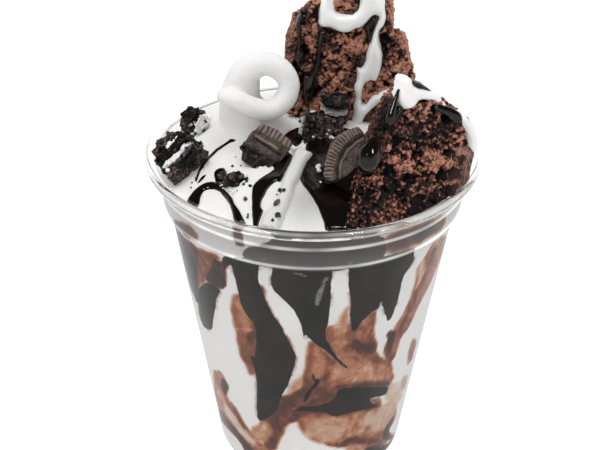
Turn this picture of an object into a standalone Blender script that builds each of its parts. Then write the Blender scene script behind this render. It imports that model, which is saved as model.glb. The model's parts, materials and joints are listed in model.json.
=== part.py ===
# Ice cream sundae in a clear tapered cup: marbled soft serve with a curled tip,
# a pool of hot fudge, two lumps of brownie and broken pieces of sandwich cookie.
# Metres, +Z up, origin at the centre of the cup's foot. Lists of sizes are in millimetres.
import math

import bmesh
import bpy
from mathutils import Euler, Matrix, Vector

MM = 0.001
WELD = 0.000001

# Driving dimensions of the cup
CUP_HEIGHT = 99.5
RIM_RADIUS = 49.0
LIP_RADIUS = 1.4
WALL = 0.6
BAND_TOP_RADIUS = 46.0
BAND_TOP_DROP = 3.0
BEAD_DROP = 7.6
BEAD_RADIUS = 45.3
SHOULDER_DROP = 14.1
SHOULDER_RADIUS = 44.0
BARREL_RADIUS = 42.2
FOOT_RADIUS = 27.9
FOOT_CORNER = 2.6
FOOT_RING_WIDTH = 1.8
FOOT_RECESS = 1.3
CUP_SIDES = 48

# Driving dimensions of what fills it
GAP = 0.3
FILL_DROP = 3.0
DOME_RISE = 9.0
TOP_RINGS = (7.0, 13.0, 19.0, 25.0, 31.0, 36.0, 40.5)
NECK_AXIS = (-17.8, 2.0)
NECK_SIDES = 20
CRUMB_CELL = 2.7
CRUMB_DEPTH = 2.2
CRUMB_ROOM = 0.9


def clear_scene():
    for item in list(bpy.data.objects):
        bpy.data.objects.remove(item, do_unlink=True)


def new_collection(name):
    collection = bpy.data.collections.new(name)
    bpy.context.scene.collection.children.link(collection)
    return collection


def new_material(name, colour, roughness, transmission=0.0):
    material = bpy.data.materials.new(name)
    material.use_nodes = True
    shader = material.node_tree.nodes["Principled BSDF"]
    shader.inputs["Base Color"].default_value = (*colour, 1.0)
    shader.inputs["Roughness"].default_value = roughness
    shader.inputs["Metallic"].default_value = 0.0
    shader.inputs["Transmission Weight"].default_value = transmission
    material.diffuse_color = (*colour, 1.0)
    return material


def add_object(name, data, collection, material=None):
    item = bpy.data.objects.new(name, data)
    collection.objects.link(item)
    if material:
        data.materials.clear()
        data.materials.append(material)
    return item


def make_cutter(item):
    item.hide_render = True
    item.display_type = "WIRE"
    return item


def to_mesh(item, material=None):
    """The item as a plain mesh object with its loose caps welded; the item goes."""
    bpy.context.view_layer.update()
    evaluated = item.evaluated_get(bpy.context.evaluated_depsgraph_get())
    mesh = bpy.data.meshes.new_from_object(evaluated)
    body = bmesh.new()
    body.from_mesh(mesh)
    bmesh.ops.remove_doubles(body, verts=body.verts, dist=WELD)
    bmesh.ops.recalc_face_normals(body, faces=body.faces)
    body.to_mesh(mesh)
    body.free()
    name, place, collection = item.name, item.matrix_world.copy(), item.users_collection[0]
    bpy.data.objects.remove(item, do_unlink=True)
    result = add_object(name, mesh, collection, material)
    result.matrix_world = place
    return result


def lathe(name, profile, sides, collection, material=None):
    """A profile of (radius, height) turned round Z, run down its outer side."""
    mesh = bpy.data.meshes.new(name)
    points = [(radius * MM, 0.0, height * MM) for radius, height in profile]
    edges = [(i, i + 1) for i in range(len(points) - 1)]
    mesh.from_pydata(points, edges, [])
    item = add_object(name, mesh, collection, material)
    screw = item.modifiers.new("turn", "SCREW")
    screw.axis = "Z"
    screw.steps = sides
    screw.render_steps = sides
    screw.use_merge_vertices = True
    screw.merge_threshold = 0.00001
    screw.use_smooth_shade = True
    return item


def frame_at(place, turn):
    """World matrix of a local frame: place in mm above the rim plane, turn in degrees."""
    x, y, z = place
    spin = Euler([math.radians(angle) for angle in turn]).to_matrix().to_4x4()
    return Matrix.Translation(Vector((x, y, z + CUP_HEIGHT)) * MM) @ spin


def slab(name, outline, thickness, frame, collection, material=None, grow=0.0, shear=(0.0, 0.0), toe=0.0):
    """A flat outline with its front face on the frame's plane, running back along local -Z.
    The back face is slid by shear, the front face's low corners stand forward by toe,
    and grow swells the whole for a cutter."""
    curve = bpy.data.curves.new(name, "CURVE")
    curve.dimensions = "2D"
    curve.fill_mode = "BOTH"
    curve.extrude = (thickness / 2 + grow) * MM
    spline = curve.splines.new("POLY")
    spline.points.add(len(outline) - 1)
    spline.use_cyclic_u = True
    for point, (u, v) in zip(spline.points, swell(outline, grow)):
        point.co = (u * MM, v * MM, 0.0, 1.0)
    item = to_mesh(add_object(name, curve, collection), material)
    for vertex in item.data.vertices:
        if vertex.co.z < 0:
            vertex.co.x += shear[0] * MM
            vertex.co.y += shear[1] * MM
        elif vertex.co.y < 0:
            vertex.co.z += toe * MM
        vertex.co.z -= thickness / 2 * MM
    item.matrix_world = frame
    return item


def swell(outline, grow):
    """The outline with each corner moved out along the mean of its two edges' normals."""
    if grow == 0:
        return outline
    area = sum(a[0] * b[1] - b[0] * a[1] for a, b in zip(outline, outline[1:] + outline[:1]))
    side = 1 if area > 0 else -1
    grown = []
    for i, corner in enumerate(outline):
        before = Vector(corner) - Vector(outline[i - 1])
        after = Vector(outline[(i + 1) % len(outline)]) - Vector(corner)
        normal = (before.normalized() + after.normalized()).normalized()
        bend = max(0.5, normal.dot(after.normalized()))
        out = Vector((normal.y, -normal.x)) * side * grow / bend
        grown.append((corner[0] + out.x, corner[1] + out.y))
    return grown


def smooth_route(points, steps):
    """Points on a smooth curve through every given point (a Catmull-Rom curve)."""
    points = [Vector(point) for point in points]
    padded = [2 * points[0] - points[1]] + points + [2 * points[-1] - points[-2]]
    route = []
    for a, b, c, d in zip(padded, padded[1:], padded[2:], padded[3:]):
        for step in range(steps):
            t = step / steps
            route.append(0.5 * (2 * b + (c - a) * t + (2 * a - 5 * b + 4 * c - d) * t * t
                                + (3 * b - a - 3 * c + d) * t ** 3))
    return route + [points[-1]]


def strand(name, points, frame, collection, steps=2, roundness=1):
    """A thick drizzle: a tube through points of (x, y, z, radius) in the frame."""
    curve = bpy.data.curves.new(name, "CURVE")
    curve.dimensions = "3D"
    curve.bevel_depth = MM
    curve.bevel_resolution = roundness
    curve.use_fill_caps = True
    route = smooth_route(points, steps)
    spline = curve.splines.new("POLY")
    spline.points.add(len(route) - 1)
    for point, (x, y, z, radius) in zip(spline.points, route):
        point.co = (x * MM, y * MM, z * MM, 1.0)
        point.radius = max(radius, 0.25)
    item = to_mesh(add_object(name, curve, collection))
    item.matrix_world = frame
    return item


def lump(name, place, size, frame, collection, detail=1):
    """A rounded blob of three half-sizes at a place in the frame."""
    mesh = bpy.data.meshes.new(name)
    body = bmesh.new()
    bmesh.ops.create_icosphere(body, subdivisions=detail, radius=MM)
    bmesh.ops.scale(body, vec=Vector(size), verts=body.verts)
    bmesh.ops.translate(body, vec=Vector(place) * MM, verts=body.verts)
    body.to_mesh(mesh)
    body.free()
    item = add_object(name, mesh, collection)
    item.matrix_world = frame
    return item


def block(name, place, size, spin, frame, collection):
    """A small bar of three half-sizes, turned by spin degrees in the frame's plane."""
    mesh = bpy.data.meshes.new(name)
    body = bmesh.new()
    bmesh.ops.create_cube(body, size=2 * MM)
    bmesh.ops.scale(body, vec=Vector(size), verts=body.verts)
    turn = Matrix.Rotation(math.radians(spin), 4, "Z")
    bmesh.ops.transform(body, matrix=Matrix.Translation(Vector(place) * MM) @ turn, verts=body.verts)
    body.to_mesh(mesh)
    body.free()
    item = add_object(name, mesh, collection)
    item.matrix_world = frame
    return item


def boolean(item, name, operation, operand):
    modifier = item.modifiers.new(name, "BOOLEAN")
    modifier.operation = operation
    modifier.solver = "MANIFOLD"
    if isinstance(operand, bpy.types.Collection):
        modifier.operand_type = "COLLECTION"
        modifier.collection = operand
    else:
        modifier.object = operand
    return modifier


def fuse(item, pieces, material):
    """One solid of the item and every piece in the collection, which is then emptied."""
    boolean(item, "fuse", "UNION", pieces)
    result = to_mesh(item, material)
    for piece in list(pieces.objects):
        bpy.data.objects.remove(piece, do_unlink=True)
    bpy.data.collections.remove(pieces)
    return result


def crumble(item, cell, depth, grain):
    """Rounds the item and breaks its faces into crags, most of them cut inwards."""
    remesh = item.modifiers.new("even faces", "REMESH")
    remesh.mode = "VOXEL"
    remesh.voxel_size = cell * MM
    texture = bpy.data.textures.new(item.name + "_crags", "CLOUDS")
    texture.noise_scale = grain * MM
    texture.noise_depth = 1
    texture.contrast = 2.0
    crags = item.modifiers.new("crags", "DISPLACE")
    crags.texture = texture
    crags.texture_coords = "LOCAL"
    crags.mid_level = 1.0
    crags.strength = depth * MM


# Cup profiles, as (radius, height above the foot)
def lip_arc(start, end, steps):
    """Points on the rolled lip, by angle in degrees from straight out."""
    centre = RIM_RADIUS - LIP_RADIUS
    points = []
    for step in range(steps + 1):
        angle = math.radians(start + (end - start) * step / steps)
        points.append((centre + LIP_RADIUS * math.cos(angle),
                       CUP_HEIGHT - LIP_RADIUS + LIP_RADIUS * math.sin(angle)))
    return points


def cup_outside():
    """Bands, bead, shoulder, barrel and foot, from under the lip to the recess."""
    stations = [(BAND_TOP_RADIUS, BAND_TOP_DROP),
                (BEAD_RADIUS + 0.2, BEAD_DROP - 0.4), (BEAD_RADIUS - 0.6, BEAD_DROP + 0.5),
                (SHOULDER_RADIUS, SHOULDER_DROP), (BARREL_RADIUS + 0.3, SHOULDER_DROP + 1.2),
                (BARREL_RADIUS, SHOULDER_DROP + 1.8)]
    points = [(radius, CUP_HEIGHT - drop) for radius, drop in stations]
    points.append((FOOT_RADIUS, FOOT_CORNER))
    points.append((FOOT_RADIUS - 0.6, 0.8))
    points.append((FOOT_RADIUS - 1.4, 0.0))
    points.append((FOOT_RADIUS - 1.4 - FOOT_RING_WIDTH, 0.0))
    points.append((FOOT_RADIUS - 2.2 - FOOT_RING_WIDTH, FOOT_RECESS))
    points.append((0.0, FOOT_RECESS))
    return points


def cup_inside(inset):
    """The cup's inner surface from the floor's centre up to the lip, moved in by inset."""
    floor = FOOT_RECESS + WALL + inset
    stations = [(BARREL_RADIUS - WALL, SHOULDER_DROP + 1.8), (SHOULDER_RADIUS - WALL, SHOULDER_DROP),
                (BEAD_RADIUS - 0.6 - WALL, BEAD_DROP + 0.5), (BEAD_RADIUS + 0.2 - WALL, BEAD_DROP - 0.4),
                (BAND_TOP_RADIUS - WALL, BAND_TOP_DROP)]
    points = [(0.0, floor), (FOOT_RADIUS - 1.6 - inset, floor), (FOOT_RADIUS - WALL - inset, floor + 1.4)]
    points += [(radius - inset, CUP_HEIGHT - drop) for radius, drop in stations]
    return points


def build_cup(collection):
    plastic = new_material("clear_plastic", (0.92, 0.93, 0.93), 0.08, transmission=0.9)
    lip = lip_arc(180.0, -90.0, 6)
    return lathe("cup", cup_inside(0.0) + lip + cup_outside(), CUP_SIDES, collection, plastic)


# Soft serve
LOBES = (
    # centre x, y, long half-size, short half-size, spin in degrees, rise
    (-20.0, -30.0, 10.0, 5.0, 65.0, 2.6),
    (-9.0, -33.0, 9.0, 3.6, 80.0, 1.6),
    (-2.0, -34.0, 10.0, 4.6, 112.0, 2.4),
    (-30.0, -14.0, 9.0, 6.0, 20.0, 1.6),
)


def surface_height(x, y):
    """Height of the soft serve above the rim plane: a low dome with soft lobes."""
    edge = BAND_TOP_RADIUS - WALL - GAP
    share = min(1.0, math.hypot(x, y) / edge)
    height = -FILL_DROP + DOME_RISE * (1.0 - share * share)
    for cx, cy, long, short, spin, rise in LOBES:
        angle = math.radians(spin)
        along = (x - cx) * math.cos(angle) + (y - cy) * math.sin(angle)
        across = (y - cy) * math.cos(angle) - (x - cx) * math.sin(angle)
        height += rise * math.exp(-(along / long) ** 2 - (across / short) ** 2) * (1.0 - share ** 6)
    return height


def build_filling(name, collection, material):
    """The filling, turned to nest in the cup, with its top raised to the surface."""
    sides = cup_inside(GAP)
    top_radius = sides[-1][0]
    sides[-1] = (top_radius, CUP_HEIGHT - FILL_DROP)
    level = CUP_HEIGHT - FILL_DROP
    top = [(0.0, level)] + [(radius, level) for radius in TOP_RINGS]
    item = lathe(name, top + sides[::-1], CUP_SIDES, collection)
    item = to_mesh(item, material)
    for vertex in item.data.vertices:
        radius = math.hypot(vertex.co.x, vertex.co.y) / MM
        if vertex.co.z > (level - 0.05) * MM and radius < top_radius - 0.05:
            vertex.co.z = (CUP_HEIGHT + surface_height(vertex.co.x / MM, vertex.co.y / MM)) * MM
    return item


CURL_ROUTE = (
    # x, y, z above the rim, radius: up the neck, round the loop and off across the front
    (-18.2, 2.5, 7.6, 9.2),
    (-19.2, 3.0, 13.3, 7.8),
    (-20.6, 3.0, 19.1, 5.5),
    (-19.4, 2.2, 24.3, 4.4),
    (-14.2, 1.0, 27.4, 3.7),
    (-9.3, 0.0, 25.7, 3.4),
    (-7.0, -1.0, 21.8, 3.2),
    (-8.1, -2.5, 17.7, 3.2),
    (-11.8, -4.0, 15.1, 3.1),
    (-16.7, -5.2, 16.2, 3.0),
    (-21.5, -5.2, 18.6, 2.9),
    (-25.0, -3.6, 20.2, 2.2),
    (-27.0, -2.0, 20.8, 1.2),
)
SAUCE_RIBBON = (
    (-4.6, -10.5, 6.6, 1.5),
    (-4.6, -14.0, 6.2, 2.4),
    (-6.0, -20.0, 4.6, 2.2),
    (-8.2, -27.0, 2.4, 2.1),
    (-10.6, -34.0, -0.8, 2.4),
    (-12.6, -39.5, -3.0, 2.6),
)
POOL_OUTLINE = [(-3.4, -14.0), (-3.0, -20.0), (-1.0, -27.0), (2.2, -34.0), (4.4, -40.0), (5.0, -50.0),
                (17.0, -50.0), (14.0, -36.0), (12.0, -25.0), (9.0, -15.0), (3.0, -12.0)]
POOL_DEPTH = 13.0


def build_neck(collection):
    """The swirl's neck under the curl, turned about its own upright axis."""
    stations = [(0.0, 19.6), (6.2, 18.8), (9.0, 16.8), (10.0, 13.6), (10.7, 9.0), (12.2, 5.0), (14.5, 1.5),
                (18.0, -3.0), (0.0, -3.0)]
    profile = [(radius, height + CUP_HEIGHT) for radius, height in stations]
    item = lathe("neck", profile, NECK_SIDES, collection)
    item.location = (NECK_AXIS[0] * MM, NECK_AXIS[1] * MM, 0.0)
    return to_mesh(item)


def pool_prism(name, collection, grow):
    frame = frame_at((0.0, 0.0, 20.0), (0.0, 0.0, 0.0))
    return slab(name, POOL_OUTLINE, 20.0 + POOL_DEPTH, frame, collection, grow=grow)


def build_soft_serve(collection, sockets, room, cream):
    rim_frame = frame_at((0.0, 0.0, 0.0), (0.0, 0.0, 0.0))
    pieces = new_collection("soft serve pieces")
    build_neck(pieces)
    strand("curl", CURL_ROUTE, rim_frame, pieces, steps=2, roundness=3)
    strand("ribbon", SAUCE_RIBBON, rim_frame, pieces, steps=2, roundness=2)
    filling = build_filling("soft_serve", collection, cream)
    soft_serve = fuse(filling, pieces, cream)
    make_cutter(pool_prism("pool_space", sockets, GAP))
    boolean(soft_serve, "stay inside the cup", "INTERSECT", room)
    boolean(soft_serve, "sockets", "DIFFERENCE", sockets)


def build_hot_fudge(collection, cutters, sockets, fudge):
    pool = build_filling("hot_fudge", collection, fudge)
    prism = make_cutter(pool_prism("pool_region", cutters, 0.0))
    boolean(pool, "pool", "INTERSECT", prism)
    boolean(pool, "sockets", "DIFFERENCE", sockets)


def inner_space(name, collection):
    """The room inside the cup, and above it a wide column that stays within the rim."""
    column = RIM_RADIUS - 0.5
    sides = cup_inside(GAP)
    sides += [(RIM_RADIUS - 2 * LIP_RADIUS - 0.5, CUP_HEIGHT - 1.4), (RIM_RADIUS - 2.2, CUP_HEIGHT + 0.3),
              (column, CUP_HEIGHT + 0.8), (column, CUP_HEIGHT + 60.0), (0.0, CUP_HEIGHT + 60.0)]
    return to_mesh(lathe(name, sides[::-1], CUP_SIDES, collection))


# Brownies: outline of the cut face, in its own plane, and the thick drizzles on it
BACK_FACE = ((10.0, 10.0, 10.0), (82.0, 0.0, 0.0))
BACK_OUTLINE = [(-14.0, -16.0), (-14.5, -6.0), (-17.6, -3.0), (-18.8, 6.0), (-18.4, 17.0), (-15.8, 23.0),
                (-9.0, 30.0), (-4.0, 33.5), (4.0, 34.5), (10.6, 31.0), (12.4, 26.0), (13.2, 21.0),
                (17.2, 14.6), (19.2, 8.0), (16.0, 2.0), (13.5, -16.0)]
BACK_FORM = {"thickness": 15.0}
BACK_STRANDS = (
    # white topping over the top and down the right
    ((-4.6, 33.0, -6.0, 2.6), (-6.0, 31.5, 0.4, 2.4), (-5.8, 26.0, 0.6, 2.4), (-0.8, 24.2, 0.8, 2.5),
     (4.6, 26.4, 0.6, 2.4), (8.2, 31.0, -0.4, 2.6), (7.0, 33.6, -6.0, 2.6)),
    ((9.6, 29.0, 0.0, 2.0), (9.6, 25.0, 0.3, 1.9), (8.2, 19.0, 0.6, 1.8), (9.4, 13.6, 0.7, 2.2),
     (7.4, 8.0, 0.9, 2.2), (4.8, 3.4, 1.2, 2.2), (4.4, -1.0, 1.4, 2.0)),
    ((5.0, 1.6, 1.2, 2.0), (8.6, 2.6, 1.4, 1.7), (12.0, 4.2, 1.2, 1.4)),
    # fudge down the left
    ((-12.6, 27.4, -0.6, 1.0), (-14.4, 22.4, 0.2, 1.5), (-14.0, 16.6, 0.2, 1.6), (-13.8, 11.0, 0.2, 1.1)),
    ((-8.4, 24.6, 0.2, 1.2), (-8.7, 15.4, 0.3, 1.5), (-10.0, 9.6, 0.5, 2.0), (-11.4, 2.4, 0.6, 1.7)),
)
BACK_BEADS = (((4.0, 13.4, -0.6), (1.8, 2.0, 2.0)), ((1.0, 7.4, -0.6), (1.6, 2.1, 2.0)))
BACK_GRAIN = 5.0

FRONT_FACE = ((10.0, -41.4, -1.0), (74.0, 0.0, 24.0))
FRONT_OUTLINE = [(-2.0, -12.0), (-0.8, 1.0), (1.2, 8.0), (3.6, 15.4), (5.8, 23.0), (9.0, 27.0), (13.0, 30.0),
                 (19.5, 34.0), (26.5, 31.5), (34.5, 25.0), (38.6, 20.5), (40.6, 14.5), (40.8, 10.5),
                 (38.4, 4.0), (35.8, -2.0), (26.5, -9.0), (14.0, -12.0)]
FRONT_FORM = {"thickness": 15.0, "shear": (6.0, 0.0), "toe": 12.0}
FRONT_STRANDS = (
    # white topping over the top left corner and the right edge
    ((20.4, 33.6, -6.5, 2.0), (20.2, 33.4, -1.0, 2.4), (20.0, 29.6, 0.4, 2.1), (19.6, 27.4, 0.5, 1.5)),
    ((20.8, 33.6, -4.0, 2.0), (26.0, 32.0, -3.0, 1.9), (32.0, 28.4, -2.6, 1.6)),
    ((36.2, 23.4, -2.0, 1.0), (39.2, 20.0, -0.6, 1.4), (40.4, 15.4, -0.4, 1.3), (40.8, 13.4, -0.4, 1.0)),
    # fudge streaks
    ((27.4, 29.8, -0.4, 1.1), (31.0, 26.2, 0.2, 1.4), (34.4, 22.6, 0.2, 1.1)),
    ((18.4, 26.2, 0.1, 1.2), (16.6, 23.6, 0.2, 1.3), (15.0, 21.0, 0.2, 0.9)),
)
FRONT_BEADS = (((6.6, 16.6, 0.4), (2.7, 3.8, 2.0)),)
FRONT_GRAIN = 4.4


def build_brownie(name, face, outline, form, strands, beads, grain, collection, room, sockets, crumb):
    """A lump of brownie with a craggy cut face and the drizzles that lie on it."""
    frame = frame_at(*face)
    body = slab(name, outline, frame=frame, collection=collection, material=crumb, **form)
    crumble(body, CRUMB_CELL, CRUMB_DEPTH, grain)
    drizzles = new_collection(name + " drizzles")
    for number, points in enumerate(strands):
        strand(f"{name}_strand_{number}", points, frame, drizzles, steps=2, roundness=1)
    for number, (place, size) in enumerate(beads):
        lump(f"{name}_bead_{number}", place, size, frame, drizzles, detail=2)
    body = fuse(body, drizzles, crumb)
    boolean(body, "stay inside the cup", "INTERSECT", room)
    make_cutter(slab(name + "_socket", outline, frame=frame, collection=sockets, grow=CRUMB_ROOM, **form))


# Broken sandwich cookies
WAFER = 3.4
CREAM = 2.2


def build_layers(name, layers, outline, place, turn, collection, sockets, materials, room=None):
    """A stack of broken layers, front to back, each a slab a hair's gap from the next."""
    frame = frame_at(place, turn)
    depth = 0.0
    for kind, thickness, inset in layers:
        layer_frame = frame @ Matrix.Translation((0.0, 0.0, -depth * MM))
        shape = swell(outline, -inset)
        material = materials[kind.split("_")[0]]
        layer = slab(f"{name}_{kind}", shape, thickness, layer_frame, collection, material)
        if room:
            boolean(layer, "stay inside the cup", "INTERSECT", room)
        depth += thickness + GAP
    make_cutter(slab(name + "_socket", outline, depth, frame, sockets, grow=GAP))


def build_ridged_wafer(name, outline, place, turn, ridges, grooves, collection, sockets, cookie):
    """A piece of wafer whose rounded rim carries short ridges and its face low bars."""
    frame = frame_at(place, turn)
    body = slab(name, outline, WAFER, frame, collection, cookie)
    trim = new_collection(name + " trim")
    (start, end, count, length, spin) = ridges
    for number in range(count):
        share = number / (count - 1)
        u = start[0] + (end[0] - start[0]) * share
        v = start[1] + (end[1] - start[1]) * share
        block(f"{name}_ridge_{number}", (u, v, 0.15), (0.32, length, 0.45), spin, frame, trim)
    for number, (u, v, half_length, half_width, groove_spin) in enumerate(grooves):
        block(f"{name}_bar_{number}", (u, v, 0.1), (half_length, half_width, 0.3), groove_spin, frame, trim)
    fuse(body, trim, cookie)
    make_cutter(slab(name + "_socket", outline, WAFER, frame, sockets, grow=GAP))


COOKIE_REAR = [(0.0, 4.7), (3.9, 2.4), (4.5, -1.2), (2.4, -4.1), (-2.0, -4.6), (-4.1, -1.2),
               (-4.8, 0.8), (-2.9, 3.2)]
COOKIE_SIDE = [(-6.0, 3.2), (-3.6, 4.2), (0.4, 3.6), (4.0, 4.4), (6.8, 3.2), (7.4, -0.6), (5.4, -4.0),
               (1.2, -4.4), (-3.4, -3.8), (-6.4, -3.0), (-7.0, 0.6)]
COOKIE_CRUMB = [(-4.0, 0.8), (-1.7, 2.4), (1.6, 2.8), (4.5, 1.1), (3.9, -1.4), (1.1, -2.5), (-1.7, -2.0)]
COOKIE_FRONT = [(-1.4, 7.4), (3.0, 5.6), (7.6, 1.9), (6.4, -0.6), (5.2, -2.2), (3.6, -4.4), (1.6, -5.0),
                (-1.3, -7.4), (-3.4, -6.8), (-4.7, -5.2), (-7.6, -2.9), (-7.2, -0.6), (-8.2, 0.6),
                (-6.0, 2.6), (-4.8, 4.6)]
COOKIE_TOP = [(-5.2, 0.4), (-4.0, 2.8), (-0.6, 3.8), (3.0, 3.4), (5.0, 1.2), (4.6, -2.0), (1.6, -3.6),
              (-3.0, -3.0)]
COOKIE_MIDDLE = [(-3.6, 6.0), (-0.2, 6.6), (2.6, 3.8), (5.0, 1.0), (5.2, -2.8), (2.9, -5.8), (-1.1, -6.4),
                 (-4.1, -4.4), (-4.8, 0.2)]
COOKIE_RIGHT = [(0.2, 8.4), (3.6, 7.8), (5.6, 4.2), (5.2, -0.4), (2.8, -4.6), (-0.6, -7.8), (-3.6, -9.0),
                (-5.0, -6.0), (-4.6, -1.6), (-3.2, 3.4)]


def build_cookies(collection, sockets, room, cookie, filling):
    materials = {"wafer": cookie, "cream": filling}
    shared = {"collection": collection, "sockets": sockets, "materials": materials}
    build_layers("cookie_rear", (("cream", 1.6, 1.2), ("wafer", 4.6, 0.0)), COOKIE_REAR,
                 (-32.0, 7.9, 3.9), (71.0, -65.0, 67.0), **shared)
    build_layers("cookie_side",
                 (("wafer_front", 3.8, 0.0), ("cream", CREAM, 0.6), ("wafer_back", WAFER, 0.4)),
                 COOKIE_SIDE, (-34.6, -16.6, 2.0), (112.0, -38.0, 27.0), room=room, **shared)
    build_layers("cookie_crumb", (("wafer", 3.2, 0.0),), COOKIE_CRUMB,
                 (-22.1, -26.4, 4.6), (48.0, 0.0, 0.0), **shared)
    build_layers("cookie_top",
                 (("wafer_upper", WAFER, 0.0), ("cream", CREAM, 0.5), ("wafer_lower", WAFER, 0.2)),
                 COOKIE_TOP, (6.6, 4.3, 15.2), (14.0, 4.0, 0.0), **shared)
    build_layers("cookie_middle", (("wafer", WAFER, 0.4), ("cream", 1.6, 0.0)), COOKIE_MIDDLE,
                 (1.2, -5.4, 8.6), (60.0, 12.0, 8.0), **shared)
    build_ridged_wafer("cookie_front", COOKIE_FRONT, (-13.1, -15.6, 8.6), (50.0, 0.0, 0.0),
                       ((-0.6, 6.4), (6.6, 2.2), 9, 1.1, -32.0),
                       ((0.4, 1.8, 3.8, 0.4, -32.0), (-2.6, 1.2, 1.6, 0.5, -30.0)),
                       collection, sockets, cookie)
    build_ridged_wafer("cookie_right", COOKIE_RIGHT, (7.2, -20.6, 9.6), (62.0, -6.0, -14.0),
                       ((0.4, 6.4), (-1.6, -5.8), 9, 1.8, 84.0), ((3.2, 1.6, 4.2, 0.4, 78.0),),
                       collection, sockets, cookie)


def build():
    clear_scene()
    sundae = new_collection("ice cream sundae")
    cutters = new_collection("cutters")
    sockets = new_collection("sockets")
    crumb = new_material("brownie", (0.13, 0.045, 0.03), 0.7)
    cookie = new_material("chocolate_wafer", (0.03, 0.02, 0.018), 0.6)
    filling = new_material("cookie_cream", (0.8, 0.8, 0.77), 0.6)
    cream = new_material("soft_serve", (0.86, 0.86, 0.84), 0.45)
    fudge = new_material("hot_fudge", (0.018, 0.008, 0.006), 0.15)
    build_cup(sundae)
    room = make_cutter(inner_space("brownie_space", cutters))
    build_brownie("brownie_back", BACK_FACE, BACK_OUTLINE, BACK_FORM, BACK_STRANDS, BACK_BEADS,
                  BACK_GRAIN, sundae, room, sockets, crumb)
    build_brownie("brownie_front", FRONT_FACE, FRONT_OUTLINE, FRONT_FORM, FRONT_STRANDS, FRONT_BEADS,
                  FRONT_GRAIN, sundae, room, sockets, crumb)
    build_cookies(sundae, sockets, room, cookie, filling)
    build_soft_serve(sundae, sockets, room, cream)
    pool_sockets = new_collection("pool sockets")
    for item in sockets.objects:
        if item.name != "pool_space":
            pool_sockets.objects.link(item)
    build_hot_fudge(sundae, cutters, pool_sockets, fudge)


build()
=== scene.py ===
# %% [markdown]
# # An ice cream sundae in a clear cup
# This notebook dresses a sundae whose solids are already measured: a tapered cup, the soft
# serve in it with a curled tip, hot fudge, two lumps of brownie and broken sandwich cookies.
# The solids come in as a fixed frame. Each step below makes the real surface of one piece
# around its solid, in the same place, and all sizes are in millimetres until a mesh is made.

# %% Load the frame
import json
import math

import bmesh
import bpy
import numpy as np
from mathutils import Euler, Matrix, Vector
from mathutils.bvhtree import BVHTree

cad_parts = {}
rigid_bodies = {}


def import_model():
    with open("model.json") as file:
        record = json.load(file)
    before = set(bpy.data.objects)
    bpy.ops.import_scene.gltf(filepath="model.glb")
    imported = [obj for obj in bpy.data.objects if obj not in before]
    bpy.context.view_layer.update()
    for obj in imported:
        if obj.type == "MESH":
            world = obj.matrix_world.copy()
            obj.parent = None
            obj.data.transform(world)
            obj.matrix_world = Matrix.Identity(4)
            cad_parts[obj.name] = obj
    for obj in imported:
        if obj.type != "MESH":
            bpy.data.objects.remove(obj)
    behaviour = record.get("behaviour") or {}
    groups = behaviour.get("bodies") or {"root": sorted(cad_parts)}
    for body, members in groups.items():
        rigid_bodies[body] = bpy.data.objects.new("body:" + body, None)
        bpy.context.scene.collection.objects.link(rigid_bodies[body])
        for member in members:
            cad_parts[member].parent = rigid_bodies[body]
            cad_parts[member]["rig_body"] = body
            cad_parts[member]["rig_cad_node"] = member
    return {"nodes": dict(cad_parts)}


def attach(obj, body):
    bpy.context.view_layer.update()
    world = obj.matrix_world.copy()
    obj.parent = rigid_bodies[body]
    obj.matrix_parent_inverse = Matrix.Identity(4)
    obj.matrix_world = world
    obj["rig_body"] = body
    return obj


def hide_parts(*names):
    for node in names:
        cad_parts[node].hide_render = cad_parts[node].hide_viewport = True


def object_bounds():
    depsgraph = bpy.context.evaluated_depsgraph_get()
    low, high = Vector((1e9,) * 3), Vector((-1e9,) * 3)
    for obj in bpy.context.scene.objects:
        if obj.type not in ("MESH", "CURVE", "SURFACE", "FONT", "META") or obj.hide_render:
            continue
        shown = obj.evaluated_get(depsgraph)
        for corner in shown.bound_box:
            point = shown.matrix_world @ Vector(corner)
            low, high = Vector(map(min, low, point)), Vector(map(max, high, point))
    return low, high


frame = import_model()
cad_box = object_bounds()
MM = 0.001
RIM = 99.5
box_sides = [round(side / MM, 1) for side in cad_box[1] - cad_box[0]]
print("solids:", len(frame["nodes"]), "in a box", box_sides)

# %% [markdown]
# ## The camera
# The shot looks down on the rim by about thirty degrees from a little over half a metre.
# The five numbers were fitted to the rim, the bead, the shoulder and the foot of the cup,
# so a pixel of the shot can be turned into a line of sight and an outline can be laid
# on the food where that line meets it.

# %% Camera and lines of sight
IMAGE_WIDTH, IMAGE_HEIGHT = 600, 450
FOCAL_PIXELS = 2007.6
SENSOR_WIDTH = 36.0
ELEVATION, ROLL = math.radians(30.24), math.radians(0.435)
DISTANCE = 600.0
AIM = Vector((-3.53, 0.0, 73.96))

level_right = Vector((1.0, 0.0, 0.0))
level_up = Vector((0.0, math.sin(ELEVATION), math.cos(ELEVATION)))
backward = Vector((0.0, -math.cos(ELEVATION), math.sin(ELEVATION)))
camera_right = level_right * math.cos(ROLL) + level_up * math.sin(ROLL)
camera_up = level_up * math.cos(ROLL) - level_right * math.sin(ROLL)
EYE = AIM + backward * DISTANCE

camera_data = bpy.data.cameras.new("camera")
camera_data.sensor_width = SENSOR_WIDTH
camera_data.lens = FOCAL_PIXELS / IMAGE_WIDTH * SENSOR_WIDTH
camera_data.clip_start, camera_data.clip_end = 0.02, 20.0
camera = bpy.data.objects.new("camera", camera_data)
bpy.context.scene.collection.objects.link(camera)
turn = Matrix((camera_right, camera_up, backward)).transposed().to_4x4()
camera.matrix_world = Matrix.Translation(EYE * MM) @ turn
bpy.context.scene.camera = camera


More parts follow.
